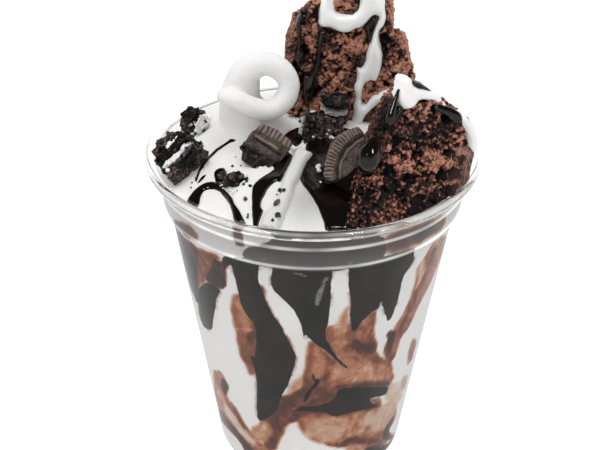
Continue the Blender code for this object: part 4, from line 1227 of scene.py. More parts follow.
# %% Hot fudge
FLAT = frame_at((0.0, 0.0, 0.0), (0.0, 0.0, 0.0))
SAUCE_EDGE = 45.2
fudge = Finish("hot_fudge", Roughness=0.14, IOR=1.45, Coat_Weight=0.3, Coat_Roughness=0.05)
fudge.surface(Base_Color=fudge.blend(fudge.noise(4.0, 3.0), shade(6, 3, 2), shade(17, 9, 7)),
              Normal=fudge.bump(fudge.noise(2.5, 3.0), 0.25, 0.5))


def inside_cup(u, v):
    """True where sauce still lies inside the cup's rim."""
    return np.hypot(u, v) < SAUCE_EDGE


def laid_on_serve(outlines, lift):
    """Outlines of pixels as places on the soft serve, lifted by lift."""
    return [[on_serve(px, py, lift) for px, py in outline] for outline in outlines]


streams = poured("fudge_streams", laid_on_serve(THICK_FUDGE, 0.6), FLAT, serve_height,
                 thick=0.9, edge=0.9, keep=inside_cup)
threads = poured("fudge_threads", laid_on_serve(THIN_FUDGE, 0.3), FLAT, serve_height,
                 thick=0.35, edge=0.5, cell=0.25, ragged=0.05, keep=inside_cup)
hot_fudge = joined([streams, threads], "hot_fudge")
serve(hot_fudge, fudge, "hot_fudge", "hot_fudge")

# %% [markdown]
# ## The ribbon of topping
# A thick ribbon of marshmallow topping was drawn over the fudge from the middle to the rim.
# It's poured like the fudge, from its own outline, only nearly three times as thick and with
# a wider round edge. Topping is whiter than cream and has a soft gloss. The ribbon is painted
# a little darker than the topping on the brownies, as painted shade, so it carries a number for
# that.

# %% Ribbon
topping = Finish("white_topping", Roughness=0.3, IOR=1.4, Subsurface_Weight=0.15,
                 Subsurface_Scale=0.002, Coat_Weight=0.15, Coat_Roughness=0.2)
white = topping.blend(topping.noise(6.0), shade(240, 240, 240), shade(232, 231, 230))
# painted shade: the ribbon's stored share greys the white topping
topping.surface(Base_Color=topping.blend(topping.mask("dull") * 0.5, white, shade(176, 175, 173)),
                Normal=topping.bump(topping.noise(3.0), 0.15, 0.4))
ribbon = poured("topping_ribbon", laid_on_serve([RIBBON], 2.4), FLAT, serve_height,
                thick=2.5, edge=1.5, ragged=0.08, keep=inside_cup)
store(ribbon, "dull", np.full(len(ribbon.data.vertices), 1.0))
serve(ribbon, topping, "soft_serve", "soft_serve")

# %% [markdown]
# ## Brownies
# Two thick lumps were torn from a slab. One stands upright at the back, and the other leans
# over the rim at the right. Each is laid out as an outline in the plane of its face, in
# millimetres across and up, and its lower part is sunk in the cream.

# %% Brownie outlines
BACK_PLANE = frame_at((10.0, 10.0, 10.0), (82.0, 0.0, 0.0))
BACK_OUTLINE = [
    (-14.0, -16.0), (-14.5, -6.0), (-17.6, -3.0), (-18.8, 6.0), (-18.4, 17.0), (-15.8, 23.0),
    (-9.0, 30.0), (-4.0, 33.5), (4.0, 34.5), (10.6, 31.0), (12.4, 26.0), (13.2, 21.0), (17.2, 14.6),
    (19.2, 8.0), (16.0, 2.0), (13.5, -16.0),
]
FRONT_PLANE = frame_at((10.0, -41.4, -1.0), (74.0, 0.0, 24.0))
FRONT_OUTLINE = [
    (-2.0, -12.0), (-0.8, 1.0), (2.2, 8.0), (6.4, 15.4), (9.0, 21.4), (12.0, 26.4), (14.6, 30.0),
    (19.5, 34.0), (26.5, 31.5), (34.5, 25.0), (38.6, 20.5), (40.6, 14.5), (40.8, 10.5), (38.4, 4.0),
    (35.8, -2.0), (26.5, -9.0), (14.0, -12.0),
]
for name, outline in (("back", BACK_OUTLINE), ("front", FRONT_OUTLINE)):
    low, high = np.min(outline, axis=0), np.max(outline, axis=0)
    print(name, "brownie:", [round(float(side), 1) for side in high - low], "mm")

# %% [markdown]
# Topping and fudge run down both faces. Their outlines are again pixels of the shot. Fudge
# also darkens the crumb round it, so most of its outlines serve twice: once for the sauce
# itself, and once for the crumb that has soaked it up. A few mark soaked crumb alone, and one
# marks the dark hollow between the two lumps, which is soaked crumb and painted shade at once.

# %% Topping and fudge outlines
TOPPING_BACK = [
    (326.3, -8.4), (322.1, 3.5), (320, 8.4), (319.3, 14), (319, 19.6), (318.2, 25.3), (321.4, 27.8),
    (324.9, 28.5), (328.4, 28.1), (332.6, 29.5), (336.1, 31.6), (340.3, 33.4), (345.9, 34.1),
    (350.2, 33), (354.4, 30.2), (360, 28.8), (364.2, 26), (367.7, 22.4), (371.9, 17.5), (376.8, 14),
    (378.9, 14.7), (378.9, 19.6), (376.8, 23.9), (373.3, 32.3), (371.2, 40.7), (369.8, 44.9),
    (368.4, 49.1), (366.3, 56.1), (365.6, 60.3), (364.2, 64.5), (362.8, 67.3), (359.3, 69.7),
    (356.9, 70.2), (357.4, 74.4), (356.9, 80), (354.4, 84.2), (353.9, 89.8), (355.8, 98.2),
    (353.7, 106.6), (353.7, 112.2), (353, 119.3), (349.5, 124.2), (355.8, 129.8), (360.7, 130.5),
    (362.8, 123.5), (365.6, 116.5), (371.2, 110.8), (378.2, 105.2), (386.6, 100.3), (392.2, 95.4),
    (393.6, 89.8), (389.4, 89.1), (381, 91.9), (372.6, 95.4), (368.4, 101), (364.2, 106.6),
    (362.1, 103.8), (361.4, 98.2), (362.8, 92.6), (364.2, 85.6), (367, 82.8), (370.5, 81.4),
    (375.4, 83.1), (378.2, 78.6), (381, 70.2), (382.1, 61.7), (381.7, 53.3), (379.6, 46.3),
    (378.2, 39.3), (378.9, 32.3), (381, 30.2), (384.5, 26.7), (385.9, 19.6), (385.2, 12.6),
    (383.1, 7), (380.3, 0), (376.8, -8.4), (361.4, -8.4), (360.7, 0), (360, 5.6), (355.8, 11.9),
    (350.2, 14.7), (341.7, 15.2), (336.1, 13.3), (330.5, 8.4), (331.2, 0), (331.9, -8.4),
]
FUDGE_BACK_1 = [
    (310.2, 12.9), (305.3, 13.8), (301, 14.7), (298, 19.6), (297.1, 26.7), (298.2, 35.1),
    (297.1, 44.9), (295.7, 53.3), (295.4, 60.3), (297.5, 66.6), (301, 66.6), (302.4, 61.7),
    (305, 56.1), (303.9, 50.5), (301, 46.3), (300.8, 39.3), (301, 30.9), (300.5, 23.9),
    (302.4, 18.2),
]
FUDGE_BACK_2 = [
    (320, 28.8), (318.6, 33.7), (316.8, 40.7), (317.2, 49.1), (315.8, 58.9), (314.4, 65.9),
    (311.6, 70.2), (308.1, 73.7), (306, 71.8), (303.2, 73.7), (302.4, 78.6), (303.2, 85.6),
    (302.7, 91.2), (303.2, 98.2), (304.6, 103.8), (308.1, 103.8), (311.6, 101), (313.7, 95.4),
    (315.1, 87), (316.8, 78.6), (319.3, 70.2), (320.4, 61.7), (321, 56.1), (322.1, 46.3),
    (324.6, 40.7), (326.3, 33.7), (328.4, 29.7), (323.5, 28.8),
]
FUDGE_SLIT = [
    (364.2, 26.7), (371.2, 16.8), (377.5, 13.8), (379.3, 16.8), (377.5, 24.6), (373.3, 35.1),
    (371.2, 43.5), (367, 42.1), (365.9, 33.7),
]
FUDGE_WET_1 = [
    (357.9, 56.1), (364.2, 51.9), (368.4, 54.7), (365.9, 60.3), (363.5, 67.3), (358.6, 69.5),
    (355.1, 67.3), (354.4, 63.8),
]
FUDGE_WET_2 = [
    (344.5, 80), (350.2, 75.8), (355.8, 74.4), (356.9, 80), (354.4, 84.9), (350.2, 86.3),
    (345.9, 84.9),
]
FUDGE_WINDOW = [
    (343.8, 13.8), (351.6, 10.5), (357.9, 5.6), (360.7, 1.4), (360.3, 8.4), (355.8, 13.3),
    (350.2, 15.2),
]
TOPPING_FRONT = [
    (401.6, 79.7), (403.3, 77.1), (407.3, 77.1), (413.5, 79.2), (413, 82.2), (413.5, 85.3),
    (417.6, 87.3), (424.7, 90.4), (431.8, 94), (438, 95), (444.1, 99.6), (442.6, 102.7),
    (440, 103.7), (436.9, 102.7), (433.9, 100.6), (428.8, 100.6), (423.7, 100.1), (417.6, 98.6),
    (414.5, 100.1), (413, 102.7), (410.4, 105.2), (407.0, 106.6), (403.8, 106.0), (400.8, 104.6),
    (399.2, 102.4), (399.0, 97.6), (400.0, 90.4), (401.4, 85.3), (401.2, 82.2),
]
TOPPING_EDGE = [
    (457.3, 111.3), (464.5, 113.4), (470.6, 119), (475.7, 127.1), (478.6, 136.3), (479, 141.4),
    (477.2, 146), (473.7, 147.2), (471.1, 145), (470.1, 137.3), (467, 130.2), (463, 124.1),
    (460.6, 122.2), (461.4, 119), (458.9, 113.9),
]
FUDGE_WEDGE = [
    (411.9, 81.2), (415.5, 81.2), (421.6, 84.3), (427.8, 88.9), (432.3, 92.4), (427.8, 91.6),
    (421.6, 89.6), (416.5, 87.1), (412.7, 85.8),
]
FUDGE_FRONT = [
    (432.9, 107.8), (438, 105.7), (444.1, 107.8), (450.2, 109.3), (455.3, 110.8), (458.9, 114.4),
    (461.6, 119), (460.9, 122.2), (458.4, 124.1), (454.3, 124.1), (450.7, 121.5), (447.1, 118),
    (442, 113.4), (436.9, 110.8), (433.4, 109.6),
]
FUDGE_DRIP = [
    (397.1, 105.2), (403.8, 106.2), (401.7, 110.8), (398.7, 115.9), (395.9, 121), (393.6, 125.6),
    (390.7, 126.7), (388, 124.6), (389, 119), (392, 112.9), (395.1, 107.8),
]
# dark hollow between the two lumps: partly fudge, partly painted shade
CAVITY_FUDGE_AND_SHADE = [
    (356.0, 108.0), (372.0, 106.0), (397.0, 99.0), (394.0, 110.0), (389.0, 120.0), (385.0, 134.0),
    (383.0, 150.0), (372.0, 156.0), (362.0, 152.0), (359.0, 136.0), (358.0, 120.0),
]
FUDGE_GLOB = [
    (365.5, 143.5), (372.7, 139.4), (376.7, 141.4), (379, 147.6), (380.5, 153.7), (379.8, 161.8),
    (376.9, 166.9), (373.7, 171), (368.6, 171.7), (362.4, 169.2), (358.4, 164.9), (357.6, 159.8),
    (359.2, 153.7), (361.6, 148.1),
]
SOAK_AND_SHADE_BACK = [FUDGE_BACK_1, FUDGE_BACK_2, FUDGE_SLIT, FUDGE_WET_1, FUDGE_WET_2, FUDGE_WINDOW,
            CAVITY_FUDGE_AND_SHADE]
SOAK_AND_SHADE_FRONT = [FUDGE_WEDGE, FUDGE_FRONT, FUDGE_DRIP, CAVITY_FUDGE_AND_SHADE, FUDGE_GLOB]
print("soaked places:", len(SOAK_AND_SHADE_BACK), "at the back,", len(SOAK_AND_SHADE_FRONT), "at the front")

# %% [markdown]
# ## Brownie crumb
# A torn brownie shows a wet, open crumb: clumps of one or two millimetres, each made of
# finer grits, with black pores, caves and cracks between them, and a smoother skin where it
# was baked against the tin. The lump starts as its plain outline, is rebuilt with fine even
# faces, and is then moved by cloudy noise for the tears and cracks and by scattered cells
# for the rest. How far out each point ends up is stored too, because grits at the front are
# pale and dry and the caves are dark, a darkness that is partly painted shade.

# %% Slabs
LIP_HEIGHTS, LIP_LIMITS = (FILL_TOP, 98.1, 99.8, 100.3), (45.1, 45.6, 46.6, 48.4)


def prism(name, outline, plane, thickness, shear=0.0, toe=0.0):
    """A closed slab: its front face on the plane and its back face slid by shear."""
    front = [(u, v, toe if v < 0.0 else 0.0) for u, v in outline]
    back = [(u + shear, v, -thickness) for u, v in outline]
    points = np.array([tuple(plane @ Vector(point)) for point in front + back])
    count = len(outline)
    faces = [tuple(range(count)), tuple(range(2 * count - 1, count - 1, -1))]
    faces += [(i, i + count, (i + 1) % count + count, (i + 1) % count) for i in range(count)]
    return new_piece(name, points, faces)


def keep_in_cup(points):
    """Points pulled in so that none passes the cup's wall or stands out past its lip."""
    radius = np.hypot(points[:, 0], points[:, 1])
    height = points[:, 2]
    limit = np.where(height < FILL_TOP, fill_radius(height) - 0.4,
                     np.interp(height, LIP_HEIGHTS, LIP_LIMITS))
    points = points.copy()
    points[:, :2] *= np.minimum(1.0, limit / np.maximum(radius, 1e-6))[:, None]
    return points


def flat_view(points, plane):
    """Points in the plane's own u, v and height."""
    back = np.array(plane.inverted())
    return points @ back[:3, :3].T + back[:3, 3]


def laid_on(plane, lift, *outlines):
    """Outlines of pixels as places on the plane lifted by lift."""
    return [[on_plane(px, py, plane, lift) for px, py in outline] for outline in outlines]


print("the front lump may reach", LIP_LIMITS[-1], "mm from the axis over the lip")

# %% Crumb relief
CLUMP, GRIT, PORE, CAVE = 1.45, 0.75, 2.1, 4.2
TEAR, CRACK = 7.0, 5.0


def dome(distance, reach):
    """A round bump from 1 at a grain's centre down to 0 at its reach."""
    return np.sqrt(np.clip(1.0 - (distance / reach) ** 2, 0.0, 1.0))


def crumble(item, seed, crust):
    """Turns the item's faces into clumps, grits and caves, and stores how far out each point is."""
    points, normals = read_points(item)
    skin = crust(points)
    shake = [clouds(points, 1.6, seed + axis, 2) for axis in (11, 12, 13)]
    bent = points + 0.7 * np.stack(shake, axis=1)
    clump, clump_number = pebbles(bent, CLUMP, seed + 20)
    grit, grit_number = pebbles(bent, GRIT, seed + 40)
    pore, pore_number = pebbles(bent, PORE, seed + 50)
    cave, cave_number = pebbles(bent, CAVE, seed + 60)
    crack = 1.0 - smooth_step(np.abs(clouds(points, CRACK, seed + 80, 3)), 0.0, 0.16)
    clump = dome(clump, 0.8) * (0.5 + 0.5 * clump_number)
    grit = dome(grit, 0.8) * (0.4 + 0.6 * grit_number)
    cave = np.clip(1.0 - (cave / 0.55) ** 2, 0.0, 1.0) * (cave_number < 0.3)
    pore = np.clip(1.0 - (pore / 0.5) ** 2, 0.0, 1.0) * (pore_number < 0.5)
    tears = clouds(points, TEAR, seed, 3)
    depth = 0.5 + 1.2 * tears - 0.8 * clump - 0.5 * grit + 1.3 * pore + 2.1 * cave + 0.8 * crack
    depth = depth * (1.0 - 0.75 * skin) + 0.2 * skin
    write_points(item, keep_in_cup(points - normals * depth[:, None]))
    # the relief sets the tone: pores, caves and cracks come out dark as painted shade, grits light as
    # painted highlight
    relief = 0.3 + 0.42 * clump + 0.36 * grit - 0.6 * pore - 0.8 * cave - 0.3 * tears - 0.3 * crack
    store(item, "relief", np.clip(relief, 0.0, 1.0))
    store(item, "skin", skin)
    print(item.name, "was eaten away by", round(float(depth.mean()), 2), "mm on average")
    return item


def back_crust(points):
    """1 on the baked skin at the left of the back lump, 0 elsewhere."""
    u = points[:, 0] - 10.0
    return smooth_step(-u, 15.0, 17.5) * smooth_step(points[:, 2], RIM + 12.0, RIM + 16.0)


def front_crust(points):
    """1 on the baked skin at the lower right of the front lump, 0 elsewhere."""
    local = flat_view(points, FRONT_PLANE)
    beside = smooth_step(local[:, 0] + 0.25 * (10.0 - local[:, 1]), 31.0, 34.5)
    return beside * smooth_step(18.0 - local[:, 1], 0.0, 4.0)


# %% [markdown]
# ## The finish of crumb
# Crumb gets its tone from the stored relief: nearly black in the caves and a dry milk brown
# on the grits, which is partly the crumb's own colour, partly painted shade in the hollows and
# a painted highlight on the grits. A finer crumb is worked into that height and into the
# normal, as no mesh of sensible size holds it. The baked skin has a ramp of its own, and crumb
# that has soaked up fudge is darker and wetter, as is the hollow between the two lumps, whose
# darkness is painted shade as well.

# %% Crumb finish
CRUMB_MIDDLE, CRUMB_GAIN = 0.56, 1.35


def crumbly(finish, relief, size):
    """Relief with a finer crumb worked in, and a normal with the same crumb in it."""
    clumps = finish.grains(size)
    grits = finish.grains(size * 0.5)
    dust = finish.noise(size * 0.6, 4.0, 0.7) - 0.5
    height = relief + 0.5 - clumps * 0.75 - grits * 0.4 + dust * 0.4
    normal = finish.bump(1.0 - clumps, size * 0.5, 0.9)
    return height, finish.bump(1.0 - grits, size * 0.3, 0.8, normal)


crumb = Finish("brownie_crumb", IOR=1.36)
height, normal = crumbly(crumb, crumb.mask("relief"), 1.2)
# each lump's number makes its crumb darker, or lighter below 0
height = (height - CRUMB_MIDDLE) * CRUMB_GAIN + CRUMB_MIDDLE - crumb.mask("moist") * 0.1
# tone by relief: the crumb's own browns, with painted shade in the hollows and a painted highlight on
# the grits
relief_tone_and_shade = crumb.ramp(height, (0.24, shade(5, 2, 1)), (0.41, shade(32, 16, 12)),
                        (0.55, shade(86, 48, 37)), (0.74, shade(128, 76, 60)),
                        (1.05, shade(192, 134, 110)))
crust_tone = crumb.ramp(height, (0.15, shade(56, 34, 27)), (0.5, shade(120, 80, 65)),
                        (0.9, shade(158, 112, 94)))
tint = crumb.blend(crumb.mask("skin") * 0.8, relief_tone_and_shade, crust_tone)
tint = crumb.blend(crumb.noise(6.0, 3.0).step(0.55, 0.68) * 0.3, tint, shade(30, 18, 15))
soaked_and_shaded = crumb.mask("soak")
# near black where fudge soaked in, and painted shade in the hollow between the lumps
tint = crumb.blend(soaked_and_shaded * 0.82, tint, shade(15, 8, 6))
shiny = crumb.noise(3.0, 2.0).step(0.5, 0.7)
crumb.surface(Base_Color=tint, Roughness=0.62 - soaked_and_shaded * 0.3 - shiny * 0.2, Normal=normal)
print("crumb finish:", len(crumb.tree.nodes), "nodes")

# %% Brownie lumps
BROWNIE_VOXEL = 0.31
BACK_FORM = {"thickness": 15.0}
FRONT_FORM = {"thickness": 15.0, "shear": 6.0, "toe": 12.0}
LUMPS = (
    # name, outline, plane, form, seed, baked skin, how much darker the crumb is made (below 0 lighter),
    # soaked and shaded places
    ("brownie_back", BACK_OUTLINE, BACK_PLANE, BACK_FORM, 3, back_crust, -3.0, SOAK_AND_SHADE_BACK),
    ("brownie_front", FRONT_OUTLINE, FRONT_PLANE, FRONT_FORM, 8, front_crust, 0.35, SOAK_AND_SHADE_FRONT),
)
for name, outline, plane, form, seed, crust, moist, soak_and_shade_outlines in LUMPS:
    lump = crumble(melt(prism(name, outline, plane, **form), BROWNIE_VOXEL, rounds=12), seed, crust)
    points, _ = read_points(lump)
    local = flat_view(points, plane)
    # soaked crumb and the painted shade of the hollow between the lumps, near the face
    soak = smooth_step(edge_distance(local[:, :2], laid_on(plane, 0.4, *soak_and_shade_outlines)), -1.3, 0.2)
    store(lump, "soak", soak * smooth_step(local[:, 2], -12.0, -8.0))
    store(lump, "moist", np.full(len(points), moist))
    serve(lump, crumb, "brownie", name)

# %% [markdown]
# ## Topping and fudge on the brownies
# Marshmallow topping hangs over each lump in a thick sheet with scalloped lower edges, and
# fudge ran down in narrow drips between. The sheets are poured on the plane of the cut
# face. Where topping goes over the top edge, balls are added, and all of it is melted into
# one soft skin.

# %% Topping over the edge
# runs of balls (across, up, out, radius) in the plane of each face, in mm
BACK_OVER = (
    ((-4.6, 33.0, -6.0, 2.4), (-6.0, 32.0, -1.0, 2.2), (-5.8, 29.0, 0.2, 1.9)),
    ((-3.0, 33.6, -3.4, 1.6), (4.0, 34.0, -3.4, 1.6)),
    ((7.0, 33.4, -6.0, 2.6), (8.2, 31.6, -1.2, 2.4), (8.6, 29.0, 0.2, 2.0)),
)
FRONT_OVER = (
    ((20.4, 32.4, -5.5, 1.5), (20.2, 32.0, -1.6, 1.6), (20.0, 30.4, 0.0, 1.6)),
    ((20.8, 32.2, -3.0, 1.5), (26.0, 31.0, -2.0, 1.5), (32.0, 27.4, -1.6, 1.3)),
    ((36.2, 23.4, -2.0, 1.0), (39.2, 20.0, -1.0, 1.3), (40.2, 15.4, -0.8, 1.3),
     (40.6, 13.4, -0.8, 1.0)),
)
KNOB = (
    # pixel x, y, height over the face and radius in mm
    (405.5, 83.0, -0.5, 2.0), (405.0, 90.0, 0.3, 2.3), (405.0, 97.0, 0.6, 2.4),
    (408.5, 101.0, 0.6, 2.2), (414.0, 96.0, 0.4, 1.9), (421.0, 93.5, 0.2, 1.6),
    (429.0, 95.5, 0.0, 1.4), (437.0, 98.5, 0.0, 1.3),
)


print("runs over the edge:", len(BACK_OVER), "at the back,", len(FRONT_OVER) + 1, "at the front")

# %% Topping on the brownies
def beads_on(plane, rows):
    """A run of beads (u, v, w, radius) from places seen in the shot, at heights over the plane."""
    return tuple(on_plane(px, py, plane, lift) + (lift, radius) for px, py, lift, radius in rows)


def level(height):
    """A flat base for a sheet, at a height over its plane."""
    return lambda u, v: np.full_like(u, height)


def ropes(name, runs, plane):
    """Thick strands: balls along each run of (u, v, w, radius) over the plane."""
    made = []
    for run in runs:
        route = smooth_route(run, 0.5)
        centres = np.array([tuple(plane @ Vector(row[:3])) for row in route])
        made.append(balls("rope", centres, route[:, 3]))
    return joined(made, name)


def soft_topping(name, outlines, runs, plane, node):
    """A sheet on the face and ropes over the edge, melted into one skin."""
    sheet = poured("sheet", laid_on(plane, 1.6, *outlines), plane, level(0.0),
                   thick=2.7, edge=1.9, sink=2.6, ragged=0.1)
    piece = melt(joined([sheet, ropes("ropes", runs, plane)], name), 0.36, rounds=9)
    return serve(piece, topping, "soft_serve", node)


front_runs = FRONT_OVER + (beads_on(FRONT_PLANE, KNOB),)
soft_topping("topping_back", [TOPPING_BACK], BACK_OVER, BACK_PLANE, "brownie_back")
soft_topping("topping_front", [TOPPING_FRONT, TOPPING_EDGE], front_runs, FRONT_PLANE,
             "brownie_front")

# %% [markdown]
# Fudge on the faces is poured the same way. In front it also gathered in a fat drop, a long
# drip and a small puddle, which stand out too far for a sheet, so these are runs of balls,
# melted together.

# %% Fudge drips
GLOB = (
    # pixel x, y, height over the face and radius in mm
    (375.5, 140.0, 0.2, 1.4), (372.5, 147.0, 0.9, 2.3), (370.0, 154.0, 1.3, 3.2),
    (368.0, 161.0, 1.1, 3.4), (366.5, 165.5, 0.5, 2.4),
)
SPEAR = (
    (398.5, 90.0, 1.0, 0.5), (395.5, 100.0, 1.2, 0.8), (392.5, 110.0, 1.2, 1.2),
    (390.5, 118.0, 1.1, 1.5), (389.2, 122.5, 0.8, 1.2),
)
PUDDLE = (
    (436.0, 107.5, 0.3, 0.9), (444.0, 110.0, 0.4, 1.3), (451.0, 113.0, 0.5, 1.5),
    (457.0, 117.0, 0.5, 1.5), (461.5, 121.5, 0.3, 1.0),
)
back_spots = laid_on(BACK_PLANE, 0.4, FUDGE_BACK_1, FUDGE_BACK_2, FUDGE_SLIT)
drips_back = poured("fudge_drips_back", back_spots, BACK_PLANE, level(-0.4),
                    thick=2.0, edge=1.1, cell=0.3, sink=1.8)
serve(drips_back, fudge, "hot_fudge", "brownie_back")

front_spots = laid_on(FRONT_PLANE, 0.4, FUDGE_WEDGE, FUDGE_FRONT, FUDGE_DRIP)
thin = poured("drips", front_spots, FRONT_PLANE, level(-0.3),
              thick=1.9, edge=1.1, cell=0.3, sink=1.8)
runs = [beads_on(FRONT_PLANE, rows) for rows in (GLOB, SPEAR, PUDDLE)]
glob = melt(ropes("glob", runs, FRONT_PLANE), 0.3, rounds=4)
serve(joined([thin, glob], "fudge_drips_front"), fudge, "hot_fudge", "brownie_front")

# %% [markdown]
# ## Sandwich cookies
# The cookies are broken: dark, dry wafers with a crumbly torn edge and a firm white filling.
# Every layer starts from its own solid, rebuilt finely and roughened where it broke.
# Wafer is coloured from its relief as the brownies are, only greyer and drier, and is likewise
# darker in its hollows as painted shade. A pressed face is smoother, with cloudy dust on it and
# its raised ridges lighter as painted highlight, and the filling is white with a few dark specks.

# %% Cookie finishes
wafer = Finish("chocolate_wafer", IOR=1.42)
height, normal = crumbly(wafer, wafer.mask("relief") * 0.9, 0.8)
# tone by relief: darker in the eaten hollows, partly as painted shade
wafer.surface(Base_Color=wafer.ramp(height, (0.1, shade(7, 5, 4)), (0.35, shade(38, 29, 26)),
                                    (0.6, shade(82, 69, 64)), (0.9, shade(126, 108, 100))),
              Roughness=0.6, Normal=normal)
pressed = Finish("pressed_wafer", IOR=1.42)
dust = pressed.noise(0.5, 4.0, 0.7) - 0.5
blotch = pressed.noise(2.0, 3.0) - 0.5
height = pressed.mask("relief") + dust * 0.8 + blotch * 0.4
# tone by relief: lighter on raised ridges and darker in hollows, partly painted highlight and shade
pressed.surface(Base_Color=pressed.ramp(height, (0.12, shade(9, 6, 5)), (0.4, shade(52, 42, 38)),
                                        (0.62, shade(92, 78, 71)), (0.95, shade(138, 121, 112))),
                Roughness=0.5, Normal=pressed.bump(dust, 0.35, 1.0))
filling = Finish("cookie_cream", Roughness=0.6, IOR=1.4)
specks = filling.noise(0.8, 4.0, 0.7).step(0.6, 0.66)
filling.surface(Base_Color=filling.blend(specks, shade(226, 226, 224), shade(60, 50, 46)),
                Normal=filling.bump(filling.noise(1.0, 4.0, 0.6), 0.3, 0.8))
print("cookie finishes:", [finish.material.name for finish in (wafer, pressed, filling)])

# %% Broken layers
LAYER_VOXEL = 0.26


def roughen(item, seed, depth, size):
    """Breaks the faces of a dry piece into grains and stores how far out each point is."""
    points, normals = read_points(item)
    shake = [clouds(points, size, seed + axis) for axis in (1, 2, 3)]
    bent = points + 0.4 * size * np.stack(shake, axis=1)
    coarse, coarse_number = pebbles(bent, size, seed)
    fine, fine_number = pebbles(bent, size * 0.5, seed + 9)
    torn = np.clip(clouds(points, size * 3.0, seed + 5) + 0.3, 0.0, 1.0)
    eaten = 0.6 * np.clip(coarse / 0.8, 0.0, 1.0) + 0.25 * np.clip(fine / 0.8, 0.0, 1.0)
    eaten = eaten + 0.45 * (coarse_number < 0.3) + 0.15 * (fine_number < 0.3) + 0.8 * torn
    eaten = depth * eaten - 0.25 * depth
    write_points(item, points - normals * eaten[:, None])
    store(item, "relief", 1.0 - np.clip(eaten / (1.3 * depth), 0.0, 1.0))
    return item


SHAPED = ("cookie_front", "cookie_right")
for seed, name in enumerate(sorted(frame["nodes"])):
    if not name.startswith("cookie") or name in SHAPED:
        continue
    points, _ = read_points(frame["nodes"][name])
    faces = [tuple(face.vertices) for face in frame["nodes"][name].data.polygons]
    layer = melt(new_piece(name + "_broken", points, faces), LAYER_VOXEL, rounds=3)
    if name.endswith("cream"):
        serve(roughen(layer, seed, 0.8, 1.3), filling, "cookie_cream", name)
    else:
        serve(roughen(layer, seed, 1.1, 1.5), wafer, "chocolate_wafer", name)

# %% [markdown]
# The broken edges are not even. Dry wafer comes apart in clumps, and the shot shows where the
# large ones sit, so balls are set into the layers there, melted together and roughened like
# the layers themselves.

# %% Clumps on the broken cookies
CLUMPS = {
    # pixel x, y, radius in mm
    "cookie_rear_wafer": (
        (184.0, 113.5, 1.7), (190.0, 110.0, 1.7), (197.0, 111.0, 1.7), (187.0, 118.0, 2.0),
        (185.0, 124.0, 1.6), (192.0, 131.0, 1.6), (199.0, 133.0, 1.3), (194.0, 113.0, 1.4)),
    "cookie_side_wafer_back": (
        (157.0, 152.0, 1.9), (162.0, 143.0, 2.1), (171.0, 136.0, 2.0), (180.0, 134.0, 1.8),
        (159.0, 162.0, 1.9), (165.0, 152.0, 1.7)),
    "cookie_side_wafer_front": (
        (191.0, 139.0, 1.8), (199.0, 146.0, 2.2), (201.0, 156.0, 1.8), (166.0, 171.0, 2.0),
        (176.0, 181.0, 2.0), (186.0, 170.0, 1.8), (179.0, 164.0, 1.5), (193.0, 158.0, 1.8)),
    "cookie_middle_wafer": (
        (309.0, 119.0, 1.6), (318.0, 122.0, 2.3), (326.0, 123.5, 2.4), (334.0, 124.5, 2.0),
        (312.0, 128.0, 1.9), (321.0, 128.0, 2.3), (330.0, 130.0, 2.0), (338.0, 126.0, 1.6),
        (315.0, 137.0, 2.1), (323.0, 140.0, 1.9), (341.0, 122.0, 1.4), (306.5, 112.0, 1.5),
        (307.0, 126.0, 1.7), (320.0, 144.5, 1.3), (340.0, 130.0, 1.5)),
}
for seed, (node, rows) in enumerate(CLUMPS.items()):
    body = bpy.data.objects[node + "_broken"]
    shape, middle = tree_of(body), Vector(read_points(body)[0].mean(axis=0))
    spots = []
    for px, py, _ in rows:
        way = sight(px, py)
        near = shape.find_nearest(EYE + way * (middle - EYE).length)[0]
        spots.append(tuple(EYE + way * ((near - EYE).length + 0.6)))
    sizes = [size for _, _, size in rows]
    lump = melt(balls(node + "_clumps", np.array(spots), sizes), LAYER_VOXEL, rounds=2)
    serve(roughen(lump, 80 + seed, 1.1, 1.4), wafer, "chocolate_wafer", node)

# %% [markdown]
# ## Wafers with their pressed face up
# Two pieces show the outside of a wafer, with a row of rounded ridges along the rim and plain
# bars or grooves inside it. They are shaped in their own plane: the outline gives a slab,
# and a pattern gives the height of its face. The patterns are plain ones of no maker.

# %% Wafer outlines
WAFER_THICKNESS = 3.4
COOKIE_FRONT = [
    (-1.4, 7.4), (3.0, 5.6), (7.6, 1.9), (6.4, -0.6), (5.2, -2.2), (3.6, -4.4), (1.6, -5.0),
    (-1.3, -7.4), (-3.4, -6.8), (-4.7, -5.2), (-7.6, -2.9), (-7.2, -0.6), (-8.2, 0.6), (-6.0, 2.6),
    (-4.8, 4.6),
]
FRONT_FACE = frame_at((-13.1, -15.6, 8.6), (50.0, 0.0, 0.0))
RIGHT_FACE = frame_at((7.2, -25.2, 14.0), (62.0, -6.0, -14.0))
COOKIE_RIGHT = [on_plane(px, py, RIGHT_FACE, 0.0) for px, py in (
    (358, 126), (350, 128.5), (342, 131.5), (334.5, 136.5), (329.5, 144), (326.5, 154),
    (323.8, 164), (322.8, 173), (323.4, 184), (330, 185), (337, 183), (347, 176), (356, 168),
    (362, 158), (366, 147), (365, 136))]
for name, outline in (("front", COOKIE_FRONT), ("right", COOKIE_RIGHT)):
    low, high = np.min(outline, axis=0), np.max(outline, axis=0)
    print(name, "wafer:", [round(float(side), 1) for side in high - low], "mm")

# %% Lines, bars and rings
def ring_through(a, b, c):
    """Centre and radius of the circle through three places."""
    a, b, c = (np.array(place[:2], dtype=float) for place in (a, b, c))
    sides = 2.0 * np.array([b - a, c - a])
    centre = np.linalg.solve(sides, [b @ b - a @ a, c @ c - a @ a])
    return centre, float(np.linalg.norm(a - centre))


